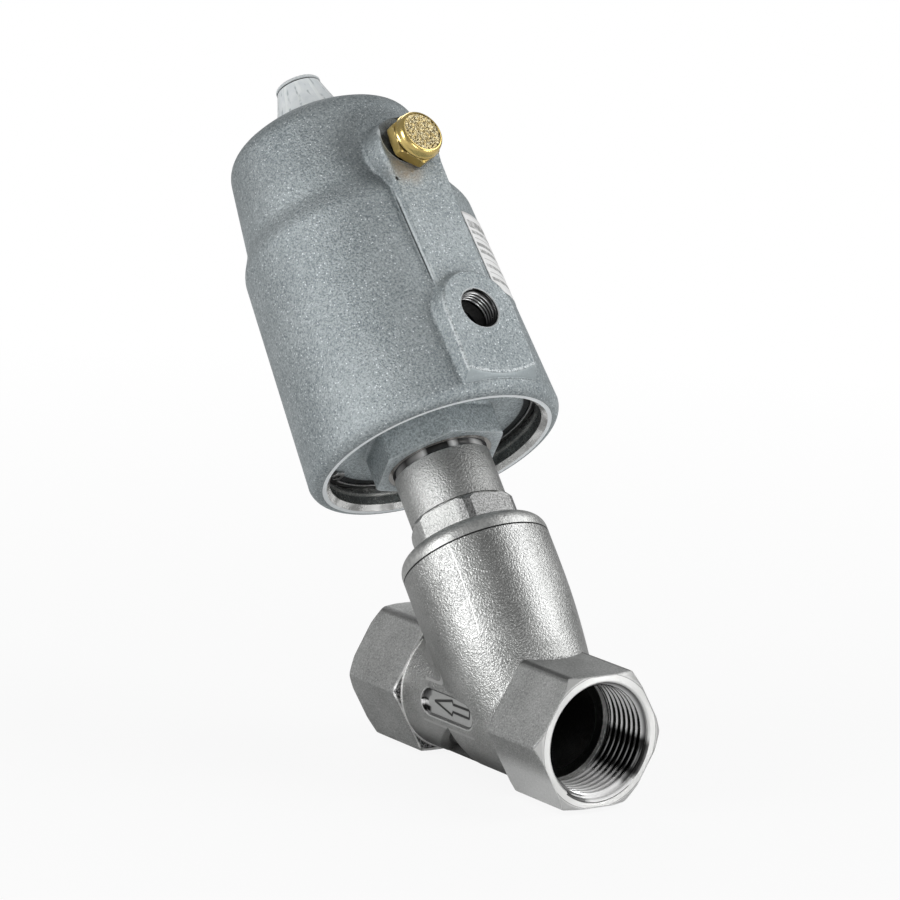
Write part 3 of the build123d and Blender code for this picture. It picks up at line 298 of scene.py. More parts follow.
class VALVE_OT_housing(bpy.types.Operator):
    """Casts the cylinder housing with its rib, bosses, turned rim, bore and ports"""

    bl_idname = "valve.housing"
    bl_label = "Cylinder housing"

    def execute(self, context):
        stations = spaced(RIM_TOP, SIDE_END, 0.75, ((68, 72), (93, 101), (117, 141)), 0.27)
        fine = np.radians(np.arange(-26.88, 26.9, 0.32))
        rest = np.linspace(fine[-1], fine[0] + 2 * np.pi, 110)[1:-1]
        angle = np.concatenate([fine, rest])[None, :]
        side = housing_radius(angle, stations[:, None])
        over = [(r, CROWN_CENTRE + math.sqrt(CROWN_RADIUS ** 2 - r ** 2)) for r in np.linspace(19.8, 9.4, 12)]
        turn = np.linspace(0, 1, 9)[1:, None]
        start, corner = np.array([side[-1].mean(), SIDE_END]), np.array([CROWN_EDGE, UPPER_TOP - 0.2])
        bend = (1 - turn) ** 2 * start + 2 * turn * (1 - turn) * corner + turn ** 2 * np.array(over[0])
        crown = [tuple(point) for point in bend[:-1]] + over
        seat, hole, bore = crown[-1][1], DOME_HOLE_RADIUS, BORE_RADIUS
        hollow = [
            (9.4, seat), (hole, seat), (hole, seat - 2.8), (11.0, seat - 2.8), (12.0, 147.2), (20.3, 147.2),
            (20.3, 122.0), (bore, BORE_END), (bore, COVER_TOP), (25.2, COVER_TOP), (25.2, 72.8), (26.1, 72.8),
            (26.1, 71.0), (25.2, 71.0), (25.2, 70.5), (25.5, 69.9), (25.5, 67.75), (26.5, RIM_STATION + 0.12),
            (26.65, RIM_STATION),
        ]
        doubled = []
        for point, after in zip(hollow, hollow[1:] + [(RIM_EDGE, RIM_STATION)]):
            step = np.array(after) - point
            doubled += [point, tuple(point + 0.06 * step), tuple(point + 0.94 * step)]
        turn = np.radians(np.linspace(-90, 0, 13))[:-1]
        rim = np.stack([
            RIM_EDGE + (SKIRT_RADIUS - RIM_EDGE) * np.cos(turn), RIM_TOP + (RIM_TOP - RIM_STATION) * np.sin(turn),
        ], axis=1)
        turned = revolved(SPINDLE, crown[:-1] + doubled + list(rim), angle)
        points = np.concatenate([on_axis(SPINDLE, stations[:, None], side, angle), turned])
        housing = surface("housing_casting", points, close_rows=True, close_columns=True)
        bleed, port = BLEED_RADIUS, PORT_RADIUS
        pilot = [(bleed, 19.0), (bleed, 25.2), (port, 25.9), (port, 31.0), (5.2, 31.35), (5.2, 34.0)]
        exhaust = [(bleed, 16.0), (bleed, 22.1), (port, 22.1), (port, 30.0)]
        recess = [(6.15, 28.0), (6.3, 28.6), (6.5, 28.9), (6.5, 30.0)]
        carve(housing, *(
            surface("cutter", revolved(axis, outline, full_turn(96)), close_columns=True, caps=(0, -1))
            for axis, outline in (
                (at_boss(PILOT_STATION), pilot), (at_boss(EXHAUST_STATION), exhaust),
                ((RECESS, BOSS, SIDE, STEM), recess),
            )
        ))
        crisp(housing)
        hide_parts("actuator_housing")
        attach(housing, "actuator")
        return {"FINISHED"}


def helix_thread(name, axis, start, end, pitch, root, crest):
    """Thread ridge: a rounded wedge section carried along a helix, radius root + (crest - root) * shape.

    The ridge dies out over its first and last third of a turn, and its back lies under the wall.
    """
    turns = (end - start) / pitch
    angle = np.linspace(0, 2 * np.pi * turns, int(turns * 72))[:, None]
    across = np.array([-0.5, -0.40, -0.30, -0.20, -0.12, -0.05, 0.05, 0.12, 0.20, 0.30, 0.40, 0.5])[None, :]
    shape = np.clip((0.46 - np.abs(across)) / 0.32, 0, 1)
    shape = shape - 0.10 * np.sin(2 * np.pi * shape)
    fade = np.clip(np.minimum(angle, angle[-1] - angle) / 2.2, 0, 1)
    along = start + pitch * angle / (2 * np.pi)
    sign = np.sign(root - crest)
    radius = root + sign * 0.03 - sign * abs(crest - root) * shape * fade
    points = on_axis(axis, along + pitch * across * 0.98, radius, angle)
    back = on_axis(axis, along + pitch * np.array([[0.45, -0.45]]), root + sign * 0.3 + 0 * angle, angle)
    points = np.concatenate([points, back], axis=1)
    return surface(name, points, close_columns=True, flip=sign > 0, caps=(0, -1))


class VALVE_OT_threads(bpy.types.Operator):
    """Cuts the threads of the two pipe ports and of the pilot port"""

    bl_idname = "valve.threads"
    bl_label = "Threads"

    def execute(self, context):
        pilot = (CROSSING + PILOT_STATION * STEM + BOSS_FACE * BOSS, -BOSS, STEM, SIDE)
        for name, axis, length, pitch, root, crest, body in (
            ("inlet_thread", LINE, 14.9, PIPE_PITCH, PIPE_ROOT, PIPE_CREST, "valve"),
            ("outlet_thread", OUTLET, 14.9, PIPE_PITCH, PIPE_ROOT, PIPE_CREST, "valve"),
            ("pilot_thread", pilot, 5.2, 0.907, PORT_RADIUS, 4.33, "actuator"),
        ):
            thread = helix_thread(name, axis, 0.55 * pitch, length, pitch, root, crest)
            crisp(thread, 60)
            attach(thread, body)
        return {"FINISHED"}


class VALVE_OT_shell(bpy.types.Operator):
    """Turns the silencer's brass shell: foot, hexagon, groove and rolled collar"""

    bl_idname = "valve.shell"
    bl_label = "Silencer shell"

    def execute(self, context):
        flat_turn, half_flat = 58.0, 5.72
        side = np.concatenate([np.linspace(-28.13, 28.13, 13), np.linspace(28.13, 31.87, 4)[1:-1]])
        angle = np.radians(np.concatenate([side + flat_turn + 60.0 * k for k in range(6)]))[None, :]
        away = np.radians((np.degrees(angle) - flat_turn + 30.0) % 60.0 - 30.0)
        roll = np.linspace(0, np.pi / 2, 12)
        collar = np.stack([4.80 + 0.95 * np.abs(np.cos(roll)) ** 0.9, 33.0 + 1.62 * np.sin(roll)], axis=1)
        outline = np.array([
            (2.6, 22.4), (4.35, 22.4), (4.45, 22.6), (4.45, 27.6), (4.6, 28.1), (4.95, 29.28), (5.0, 29.3),
            (5.75, 29.3), (6.3, 29.42), (6.48, 29.55), (6.5, 30.4), (6.5, 31.3), (6.48, 31.5), (6.15, 31.75),
            (5.72, 31.9), (5.35, 31.9), (5.2, 31.95), (5.2, 32.15), (5.3, 32.2), (5.8, 32.2), (5.94, 32.26),
            (5.95, 32.4), (5.82, 32.6), *collar, (4.76, 34.55), (4.72, 34.4), (4.72, 32.95), (4.66, 32.9),
            (2.7, 32.9), (2.6, 32.8),
        ])
        radius, rise = outline[:, 0:1], outline[:, 1:2]
        cut = np.minimum(radius, np.where(radius > 5.6, half_flat / np.cos(away), 9.0))
        radius = np.where((rise > 32.0) | (rise < 29.29), radius, cut)
        points = on_axis(at_boss(SILENCER_STATION), rise, radius, angle)
        shell = surface("silencer_shell", points, close_rows=True, close_columns=True, flip=True)
        crisp(shell, 24)
        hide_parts("silencer_body")
        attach(shell, "actuator")
        return {"FINISHED"}


class VALVE_OT_ring(bpy.types.Operator):
    """Bends the flat spring ring of the mouth and punches its two eyes"""

    bl_idname = "valve.ring"
    bl_label = "Spring ring"

    def execute(self, context):
        end = math.radians(4.3)
        angle = np.linspace(EYE_TURN + end, EYE_TURN - 2 * np.pi + RING_GAP - end, 620)[:, None]
        inner = np.full_like(angle, RING_INNER)
        for centre in (EYE_TURN, EYE_TURN - 2 * np.pi + RING_GAP):
            lean = angle - centre
            reach = EYE_BOSS ** 2 - (EYE_RADIUS * np.sin(lean)) ** 2
            eye = EYE_RADIUS * np.cos(lean) - np.sqrt(np.clip(reach, 0, None))
            eye = smooth_min(inner, np.where(reach > 0, eye, RING_OUTER), 0.5)
            inner = np.where(np.abs(lean) < 0.2, eye, inner)
        section = np.array([(0, 0.1), (0, 0.45), (0.1, 0.55), (0.9, 0.55), (1, 0.45), (1, 0.1), (0.9, 0.0), (0.1, 0.0)])
        radius = inner + (RING_OUTER - inner) * section[None, :, 0]
        points = on_axis(SPINDLE, RING_STATION + section[None, :, 1], radius, angle)
        ring = surface("spring_ring", points, close_columns=True, caps=(0, -1))
        holes = []
        for centre in (EYE_TURN, EYE_TURN + RING_GAP):
            foot = CROSSING + EYE_RADIUS * (math.cos(centre) * BOSS + math.sin(centre) * SIDE)
            hole = revolved((foot, STEM, BOSS, SIDE), [(EYE_HOLE, 71.0), (EYE_HOLE, 74.0)], full_turn(32))
            holes.append(surface("eye", hole, close_columns=True, caps=(0, -1)))
        carve(ring, *holes)
        crisp(ring, 40)
        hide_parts("snap_ring")
        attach(ring, "actuator")
        return {"FINISHED"}


class VALVE_OT_silencer(bpy.types.Operator):
    """Presses a disc of sintered bronze grains into the silencer"""

    bl_idname = "valve.silencer"
    bl_label = "Sintered disc"

    def execute(self, context):
        radius = np.linspace(0.05, DISC_RADIUS, 74)[:, None]
        angle = full_turn(200)
        x, y = radius * np.cos(angle), radius * np.sin(angle)
        chance = np.random.default_rng(7)
        grid = np.stack(np.meshgrid(np.arange(-5.2, 5.21, 0.46), np.arange(-5.2, 5.21, 0.40)), axis=-1)
        grid[1::2, :, 0] += 0.23
        grains = grid.reshape(-1, 2) + chance.uniform(-0.13, 0.13, (grid.size // 2, 2))
        tall = chance.uniform(-0.10, 0.06, len(grains))
        wide = chance.uniform(0.22, 0.31, len(grains))
        height = np.full(x.shape, -0.32)
        for (gx, gy), level, reach in zip(grains, tall, wide):
            gap = (x - gx) ** 2 + (y - gy) ** 2
            ball = np.sqrt(np.clip(reach ** 2 - gap, 0, None)) - 0.35 * (gap > reach ** 2)
            height = np.maximum(height, level - 0.26 + ball)
        height = height * np.clip((DISC_RADIUS - radius) / 0.12, 0, 1) - 0.05
        points = on_axis(at_boss(SILENCER_STATION), DISC_LEVEL + height, radius, angle)
        foot = revolved(at_boss(SILENCER_STATION), [(DISC_RADIUS, 32.9)], angle)
        disc = surface("sintered_disc", np.concatenate([points, foot]), close_columns=True, flip=True, caps=(0, -1))
        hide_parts("silencer_disc")
        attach(disc, "actuator")
        return {"FINISHED"}


class VALVE_OT_dome(bpy.types.Operator):
    """Moulds the clear dome, its inner ribs and its cap band"""

    bl_idname = "valve.dome"
    bl_label = "Indicator dome"

    def execute(self, context):
        seat, top = DOME_SEAT, DOME_TOP
        outside = rounded([
            (6.0, seat - 2.7), (6.0, seat + 0.02), (9.0, seat + 0.02), (9.0, seat + 0.5), (8.1, seat + 1.7),
            (7.05, seat + 4.0), (6.1, seat + 6.8), (5.3, DOME_LINE), (5.12, DOME_LINE + 0.08), (5.12, DOME_LINE + 0.2),
            (5.45, DOME_LINE + 0.3), (5.42, top - 0.8), (5.0, top - 0.4), (4.3, top - 0.12), (3.0, top - 0.02),
            (0.05, top),
        ], 0.25)
        inside = rounded([
            (0.05, top - 2.3), (2.9, top - 2.3), (3.5, top - 2.8), (4.9, seat + 2.2), (4.9, seat - 2.7),
        ], 0.4)
        angle = full_turn(192)
        outline = np.concatenate([outside, inside])
        depth = np.concatenate([np.zeros(len(outside)), np.clip(inside[:, 0] / 3.5, 0, 1)])[:, None]
        ribs = 0.42 * np.abs(np.cos(5 * angle)) ** 6 * depth
        points = on_axis(SPINDLE, outline[:, 1:2], outline[:, 0:1] - ribs, angle)
        dome = surface("dome_moulding", points, close_rows=True, close_columns=True)
        crisp(dome, 50)
        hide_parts("indicator_dome")
        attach(dome, "actuator")
        return {"FINISHED"}


class VALVE_OT_label(bpy.types.Operator):
    """Lays the rating label round the skirt"""

    bl_idname = "valve.label"
    bl_label = "Rating label"

    def execute(self, context):
        angle = np.radians(np.linspace(20.8, 95.0, 90))[None, :]
        station = np.linspace(LABEL_BOTTOM, LABEL_TOP, 24)[:, None]
        under = skirt_profile(station) + 0 * angle
        outer, inner = (on_axis(SPINDLE, station, under + lift, angle) for lift in (0.16, 0.02))
        u = (angle - angle[0, 0]) / (angle[0, -1] - angle[0, 0])
        v = (station - LABEL_BOTTOM) / (LABEL_TOP - LABEL_BOTTOM)
        uv = np.stack(np.broadcast_arrays(u, v), -1)
        points = np.concatenate([outer, inner[::-1]])
        label = surface("label_film", points, close_rows=True, uv=np.concatenate([uv, uv[::-1]]))
        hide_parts("rating_label")
        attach(label, "actuator")
        return {"FINISHED"}


# Materials

class Socket:
    """A value in a material's tree, on which sums are written as plain expressions."""

    def __init__(self, tree, socket):
        self.tree = tree
        self.socket = socket

    def math(self, operation, *others):
        """Math node on this value and others."""
        return self.tree.node("ShaderNodeMath", {"operation": operation}, dict(enumerate((self, *others))))

    def __rsub__(self, other):
        return self.tree.node("ShaderNodeMath", {"operation": "SUBTRACT"}, {0: other, 1: self})

    __add__ = __radd__ = partialmethod(math, "ADD")
    __sub__ = partialmethod(math, "SUBTRACT")
    __mul__ = __rmul__ = partialmethod(math, "MULTIPLY")
    __truediv__ = partialmethod(math, "DIVIDE")
    __pow__ = partialmethod(math, "POWER")
    __abs__ = partialmethod(math, "ABSOLUTE")

    def above(self, edge, soft=0.0):
        """1 where the value is over edge, 0 under it, with a ramp of that softness."""
        if not soft:
            return self.math("GREATER_THAN", edge)
        return self.tree.node(
            "ShaderNodeMapRange", {"interpolation_type": "SMOOTHSTEP"},
            {"Value": self, "From Min": edge - soft, "From Max": edge + soft},
        )

    def below(self, edge, soft=0.0):
        """1 where the value is under edge."""
        return 1 - self.above(edge, soft)

    def between(self, low, high, soft=0.0):
        """1 where the value lies between two edges."""
        return self.above(low, soft) * self.below(high, soft)

    def largest(self, *others):
        """Largest of this value and others."""
        top = self
        for other in others:
            top = top.math("MAXIMUM", other)
        return top


def hypot(a, b):
    """Diagonal of two distances."""
    return (a * a + b * b) ** 0.5


def channels(shade):
    """Red, green and blue of a colour or of a grey given as one number."""
    return shade if isinstance(shade, tuple) else (shade, shade, shade)


def dimmed(color, share):
    """Colour times a share."""
    return tuple(share * c for c in color)


class Tree:
    """A node tree that is built by expressions."""

    def __init__(self, tree):
        self.tree = tree

    def find(self, kind):
        """The tree's own node of a kind."""
        return next(node for node in self.tree.nodes if node.type == kind)

    def fill(self, node, sockets):
        """Sets or links the sockets of a node."""
        for key, value in sockets.items():
            if isinstance(value, Socket):
                self.tree.links.new(value.socket, node.inputs[key])
            else:
                node.inputs[key].default_value = value

    def node(self, kind, settings, sockets, out=0):
        """Any node: its type, its settings, the values or links of its sockets, and the output wanted."""
        made = self.tree.nodes.new(kind)
        for key, value in settings.items():
            if key == "stops":
                ramp = made.color_ramp
                while len(ramp.elements) < len(value):
                    ramp.elements.new(0.5)
                for element, (position, shade) in zip(ramp.elements, value):
                    element.position = position
                    element.color = (*channels(shade), 1)
            else:
                setattr(made, key, value)
        self.fill(made, sockets)
        return Socket(self, made.outputs[out])


class Finish(Tree):
    """A material whose tree ends in one Principled shader."""

    def __init__(self, name, **constants):
        self.material = bpy.data.materials.new(name)
        self.material.use_nodes = True
        super().__init__(self.material.node_tree)
        self.shader = self.find("BSDF_PRINCIPLED")
        self.feed(**constants)
        self.place = self.node("ShaderNodeTexCoord", {}, {}, out="Object")

    def feed(self, **inputs):
        """Sets or links the shader's sockets, which are named in lower case with underscores."""
        names = {key: key.replace("_", " ").title().replace("Ior", "IOR") for key in inputs}
        self.fill(self.shader, {names[key]: value for key, value in inputs.items()})
        return self.material

    def vector(self, operation, a, b):
        """Vector Math node on a vector and a vector or number."""
        key = "Scale" if operation == "SCALE" else 1
        out = 1 if operation in ("DOT_PRODUCT", "DISTANCE", "LENGTH") else 0
        sides = {0: a} if b is None else {0: a, key: b}
        return self.node("ShaderNodeVectorMath", {"operation": operation}, sides, out=out)

    def axes(self):
        """The three coordinates in millimetres."""
        scaled = self.vector("SCALE", self.place, 1000.0)
        return tuple(self.node("ShaderNodeSeparateXYZ", {}, {0: scaled}, out=axis) for axis in "XYZ")

    def along(self, direction, origin):
        """Distance in millimetres along a direction from a point given in millimetres."""
        moved = self.vector("SUBTRACT", self.place, tuple(v * MM for v in origin))
        return self.vector("DOT_PRODUCT", moved, tuple(1000.0 * v for v in direction))

    def around(self, axis):
        """Distance along an axis and distance from it, both in millimetres."""
        origin, direction = axis[:2]
        moved = self.vector("SCALE", self.vector("SUBTRACT", self.place, tuple(origin * MM)), 1000.0)
        along = self.vector("DOT_PRODUCT", moved, tuple(direction))
        foot = self.vector("SCALE", tuple(direction), along)
        return along, self.vector("DISTANCE", moved, foot)

    def gap(self, point):
        """Distance in millimetres from a point given in millimetres."""
        return self.vector("DISTANCE", self.place, tuple(point * MM)) * 1000.0

    def across(self, away):
        """0 to 1 from left to right, as the picture shows it, over a piece round the stem of that radius; it places
        painted reflections and shade.
        """
        return self.along(PICTURE_RIGHT, CROSSING) / (2.0 * away) + 0.5

    def strokes(self, place, points):
        """Distance from a place to the nearest of the strokes that join the points."""
        nearest = 1000.0 * self.vector("LENGTH", (0.0, 0.0, 1.0), None)
        for start, end in zip(points, points[1:]):
            moved = self.vector("SUBTRACT", place, tuple(start))
            reach = end - start
            share = self.vector("DOT_PRODUCT", moved, tuple(reach / (reach @ reach)))
            share = self.node("ShaderNodeClamp", {}, {"Value": share})
            foot = self.vector("SCALE", tuple(reach), share)
            nearest = nearest.math("MINIMUM", self.vector("DISTANCE", moved, foot))
        return nearest

    def noise(self, millimetres, detail=2.0, roughness=0.5):
        """Noise between 0 and 1 whose grains are that many millimetres across."""
        return self.node(
            "ShaderNodeTexNoise", {"noise_dimensions": "3D"},
            {"Vector": self.place, "Scale": 1000.0 / millimetres, "Detail": detail, "Roughness": roughness},
        )

    def marks(self, way):
        """Marks of a lathe tool: noise between 0 and 1 that changes with one value only."""
        return self.node("ShaderNodeTexNoise", {"noise_dimensions": "1D"}, {"W": way, "Detail": 3.0})

    def cells(self, millimetres):
        """Distance to the nearest of scattered points that many millimetres apart."""
        return self.node("ShaderNodeTexVoronoi", {}, {"Vector": self.place, "Scale": 1000.0 / millimetres})

    def ramp(self, value, *stops):
        """Colour picked along stops of (position, colour or grey)."""
        return self.node("ShaderNodeValToRGB", {"stops": stops}, {0: value})

    def mix(self, share, a, b):
        """Colour between two colours or greys."""
        a, b = (shade if isinstance(shade, Socket) else (*channels(shade), 1.0) for shade in (a, b))
        return self.node("ShaderNodeMix", {"data_type": "RGBA"}, {0: share, 6: a, 7: b}, out=2)

    def coats(self, shade, *coats):
        """Colour once coats of (share, colour or grey) are laid over it in that order."""
        for share, color in coats:
            shade = self.mix(share, shade, color)
        return shade

    def edge_wear_and_sheen(self, radius):
        """1 along the edges: where a normal rounded over that radius, in millimetres, leaves the true one; it marks
        worn edges and edges given a painted highlight.
        """
        soft = self.node("ShaderNodeBevel", {"samples": 8}, {"Radius": radius * MM})
        true = self.node("ShaderNodeNewGeometry", {}, {}, out="Normal")
        turn = 1 - self.vector("DOT_PRODUCT", soft, true)
        return self.node("ShaderNodeMapRange", {}, {"Value": turn, "From Min": 0.015, "From Max": 0.10})

    def crease_shade(self, reach):
        """0 on open ground, towards 1 in corners that the sky within that reach, in millimetres, hardly sees; it lays
        painted shade into creases.
        """
        return 1 - self.node("ShaderNodeAmbientOcclusion", {"samples": 8}, {"Distance": reach * MM}, out="AO")

    def end(self, color, roughness, height, depth, edge=0.0, **others):
        """Feeds the shader, with a bump of that depth over edges rounded to a radius, both in millimetres."""
        sockets = {"Height": height, "Distance": depth * MM, "Strength": 1.0}
        if edge:
            sockets["Normal"] = self.node("ShaderNodeBevel", {"samples": 6}, {"Radius": edge * MM})
        bump = self.node("ShaderNodeBump", {}, sockets)
        return self.feed(base_color=color, roughness=roughness, normal=bump, **others)


def paint(material, *names):
    """Puts a material on CAD nodes and new pieces."""
    for name in names:
        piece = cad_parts.get(name) or bpy.data.objects[name]
        piece.data.materials.clear()
        piece.data.materials.append(material)


def cast_skin(name, edge, lift=1.0):
    """Fine-grained casting of the cylinder: tiny sharp grains with painted glints, edges paler from wear and painted
    highlight, and painted shade in creases.
    """
    f = Finish(name)
    fine, coarse, cloud = f.noise(0.50, roughness=0.7), f.noise(1.4), f.noise(17.0, detail=3.0)
    shade = f.coats(
        f.ramp(
            fine * 0.70 + coarse * 0.12 + cloud * 0.18,
            (0.37, dimmed((0.205, 0.24, 0.255), lift)), (0.63, dimmed((0.52, 0.565, 0.58), lift)),
        ),
        # painted highlight: scattered near-white specks stand in for glints off the grain
        (f.cells(1.1).below(0.15, 0.04) * 0.85, (0.88, 0.93, 0.95)),
        # paler edges: partly wear, partly a painted highlight
        (f.edge_wear_and_sheen(edge) * (0.25 + 0.7 * coarse), (0.72, 0.76, 0.775)),
        # painted shade: corners and creases darkened by occlusion
        (f.crease_shade(5.0) * 0.85, (0.02, 0.024, 0.026)),
    )
    return f, fine, coarse, shade, fine * 1.9 + coarse * 0.30, 0.40 + 0.16 * fine


def housing_skin(depth):
    """Housing: cast skin, turned bare at the rim, on its ramp and in the mouth, with a stain and a pit on the rib.

    Pilot port, silencer recess and the painted highlight and shade lines beside the rib are told apart by distances
    from the axes.
    """
    f, fine, coarse, shade, height, rough = cast_skin("cast housing", 0.5)
    along, away = f.around(SPINDLE)
    out, off = f.around(at_boss(PILOT_STATION))
    rise, gap = f.around((RECESS, BOSS))
    over = abs(f.along(SIDE, CROSSING))
    streak = f.noise(2.2, detail=4.0, roughness=0.7)

    cone = away - SKIRT_RADIUS - (along - RAMP_BOTTOM) / RAMP_RUN
    ramp = cone.between(-0.12, 0.12, 0.05) * away.above(SKIRT_RADIUS + 0.2)
    band = along.below(RIM_STATION + 0.12, 0.03) * away.below(RIM_EDGE + 0.05, 0.05)
    mouth = away.below(26.62, 0.02) * along.below(COVER_TOP + 0.2)
    lead = mouth * along.below(67.75, 0.03)
    lines = f.marks(along * 7.0 + away * 5.0)
    bare = f.ramp(lines * 0.7 + streak * 0.3, (0.36, (0.05, 0.052, 0.05)), (0.60, (0.34, 0.345, 0.33)))
    patches = f.noise(5.0, detail=1.0) * 0.8 + streak * 0.2
    lead_metal_and_glare = f.ramp(patches, (0.40, (0.42, 0.42, 0.41)), (0.56, (1.0, 1.0, 0.985)))
    crown = along.above(148.4, 1.4)

    rib = CROSSING + RIB_FACE * BOSS
    stain = f.gap(rib + 125.6 * STEM - 3.4 * SIDE).below(3.8, 2.0) * streak.above(0.42, 0.2)
    pit_at = rib + 122.9 * STEM - 7.15 * SIDE
    pit_gap = hypot(f.along(STEM, pit_at) * 0.7, f.along(SIDE, pit_at))
    pit = (pit_gap + streak * 0.3).below(0.48, 0.10) * away.above(27.0)

    port = off.below(5.0, 0.04) * out.above(20.0)
    lip = off.below(5.22, 0.02) * out.above(30.9) * off.above(4.9)
    arch = hypot(over, (along - PILOT_STATION).largest(0.0))
    boss_arch_highlight = arch.between(9.3, 10.0, 0.12) * out.between(30.7, 31.5, 0.1) * along.below(90.0, 3.0)
    foot = cone.between(-0.6, -0.1, 0.12) * out.above(30.9)
    boss_edge_highlight = boss_arch_highlight.largest(foot) * (fine * 0.6 + coarse * 0.4).above(0.47, 0.12)
    level = away + (along - RAMP_BOTTOM) * SKIRT_TAPER - SKIRT_RADIUS
    flank = over.between(6.9, 9.9, 0.3) * along.between(96.0, 119.5, 3.0)
    seat = gap.below(6.32, 0.03) * rise.between(20.0, 28.45, 0.05)
    recess_rim_highlight = gap.between(6.34, 6.62, 0.05) * rise.between(27.5, 29.2, 0.3)
    rib_head_shadow = gap.between(8.0, 13.5, 2.5) * rise.below(27.6, 0.5) * away.above(20.0) * along.above(112.0, 6.0)
    shade = f.coats(
        shade,
        (ramp * 0.85, (0.375, 0.42, 0.435)),
        (band, (0.92, 0.96, 0.98)),
        # painted shade: the crown and the top of the barrel darkened
        (crown * 0.22 + along.above(134.0, 3.0) * 0.12, (0.06, 0.07, 0.073)),
        (stain * 0.75, (0.40, 0.35, 0.29)),
        # painted shade: the pit is painted near black for the shade inside it, over a shallow bump
        (pit, 0.008),
        (mouth, bare),
        # bare turned metal of the lead-in, with white patches of painted reflection
        (lead, lead_metal_and_glare),
        # painted highlight along the boss edge and the ramp's foot, broken up by noise
        (boss_edge_highlight * 0.65, (0.85, 0.89, 0.90)),
        # painted highlight on the edge beside the rib, then painted shade in the crease below it
        (level.between(0.5, 0.95, 0.12) * flank * 0.38, (0.80, 0.84, 0.85)),
        (level.between(0.14, 0.42, 0.05) * flank * 0.92, (0.03, 0.035, 0.037)),
        # painted shade: the inside of the pilot port painted dark
        (port, 0.03),
        (lip, (0.60, 0.63, 0.64)),
        # painted shade: the silencer recess floor painted dark
        (seat, f.ramp(streak, (0.35, (0.04, 0.044, 0.044)), (0.65, (0.17, 0.185, 0.185)))),
        # painted highlight round the edge of the silencer recess
        (recess_rim_highlight * 0.7, (0.70, 0.74, 0.75)),
        # painted shadow on the barrel around the rib head
        (rib_head_shadow * 0.38, (0.05, 0.06, 0.062)),
    )
    calm = (ramp * 0.85).largest(band * 0.9, mouth)
    height = height * (1 - calm) - pit * 2.0 + lines * 0.25 * mouth
    rough = rough * (1 - mouth) + (0.16 + 0.2 * streak) * mouth + 0.25 * crown
    metal = (1 - CAST_METAL) * mouth * (1 - lead * 0.6) + CAST_METAL - CAST_METAL * band
    return f.end(shade, rough, height, depth, 0.15, metallic=metal)


def cover_skin(depth):
    """Cover: the cylinder's cast skin, lightened as painted light, with a bare throat and a painted shadow round the
    rim.
    """
    # painted light: the cover's skin lightened half as much again
    f, _, _, shade, height, rough = cast_skin("cast cover", 0.9, lift=1.5)
    along, away = f.around(SPINDLE)
    throat = away.below(12.35, 0.05) * along.below(66.2)
    rim_shadow = along.between(72.0, 73.2) * away.above(22.9, 0.25)
    # painted shadow round the rim of the cover
    shade = f.coats(shade, (throat, (0.33, 0.32, 0.30)), (rim_shadow * 0.92, 0.02))
    rough = rough * (1 - throat) + 0.15 * throat
    height = height * (1 - throat)
    return f.end(shade, rough, height, depth, 0.15, metallic=CAST_METAL)


def blasted_steel(name):
    """Bead-blasted stainless casting: a crinkled skin whose shoulders catch the light."""
    f = Finish(name, metallic=1.0)
    crinkle = f.noise(0.40, roughness=0.6)
    cloud = f.noise(9.0, detail=3.0)
    height = crinkle * 1.25 + f.cells(0.5) * 0.65 + f.noise(2.6) * 0.35
    shade = f.ramp(crinkle * 0.6 + cloud * 0.4, (0.34, (0.33, 0.335, 0.328)), (0.66, (0.62, 0.625, 0.615)))
    return f, crinkle, cloud, height, shade


def underside_turn(y, z):
    """Angle round the line: 0 on the side of -Y and a quarter turn underneath."""
    return (0.0 - z).math("ARCTAN2", 0.0 - y)


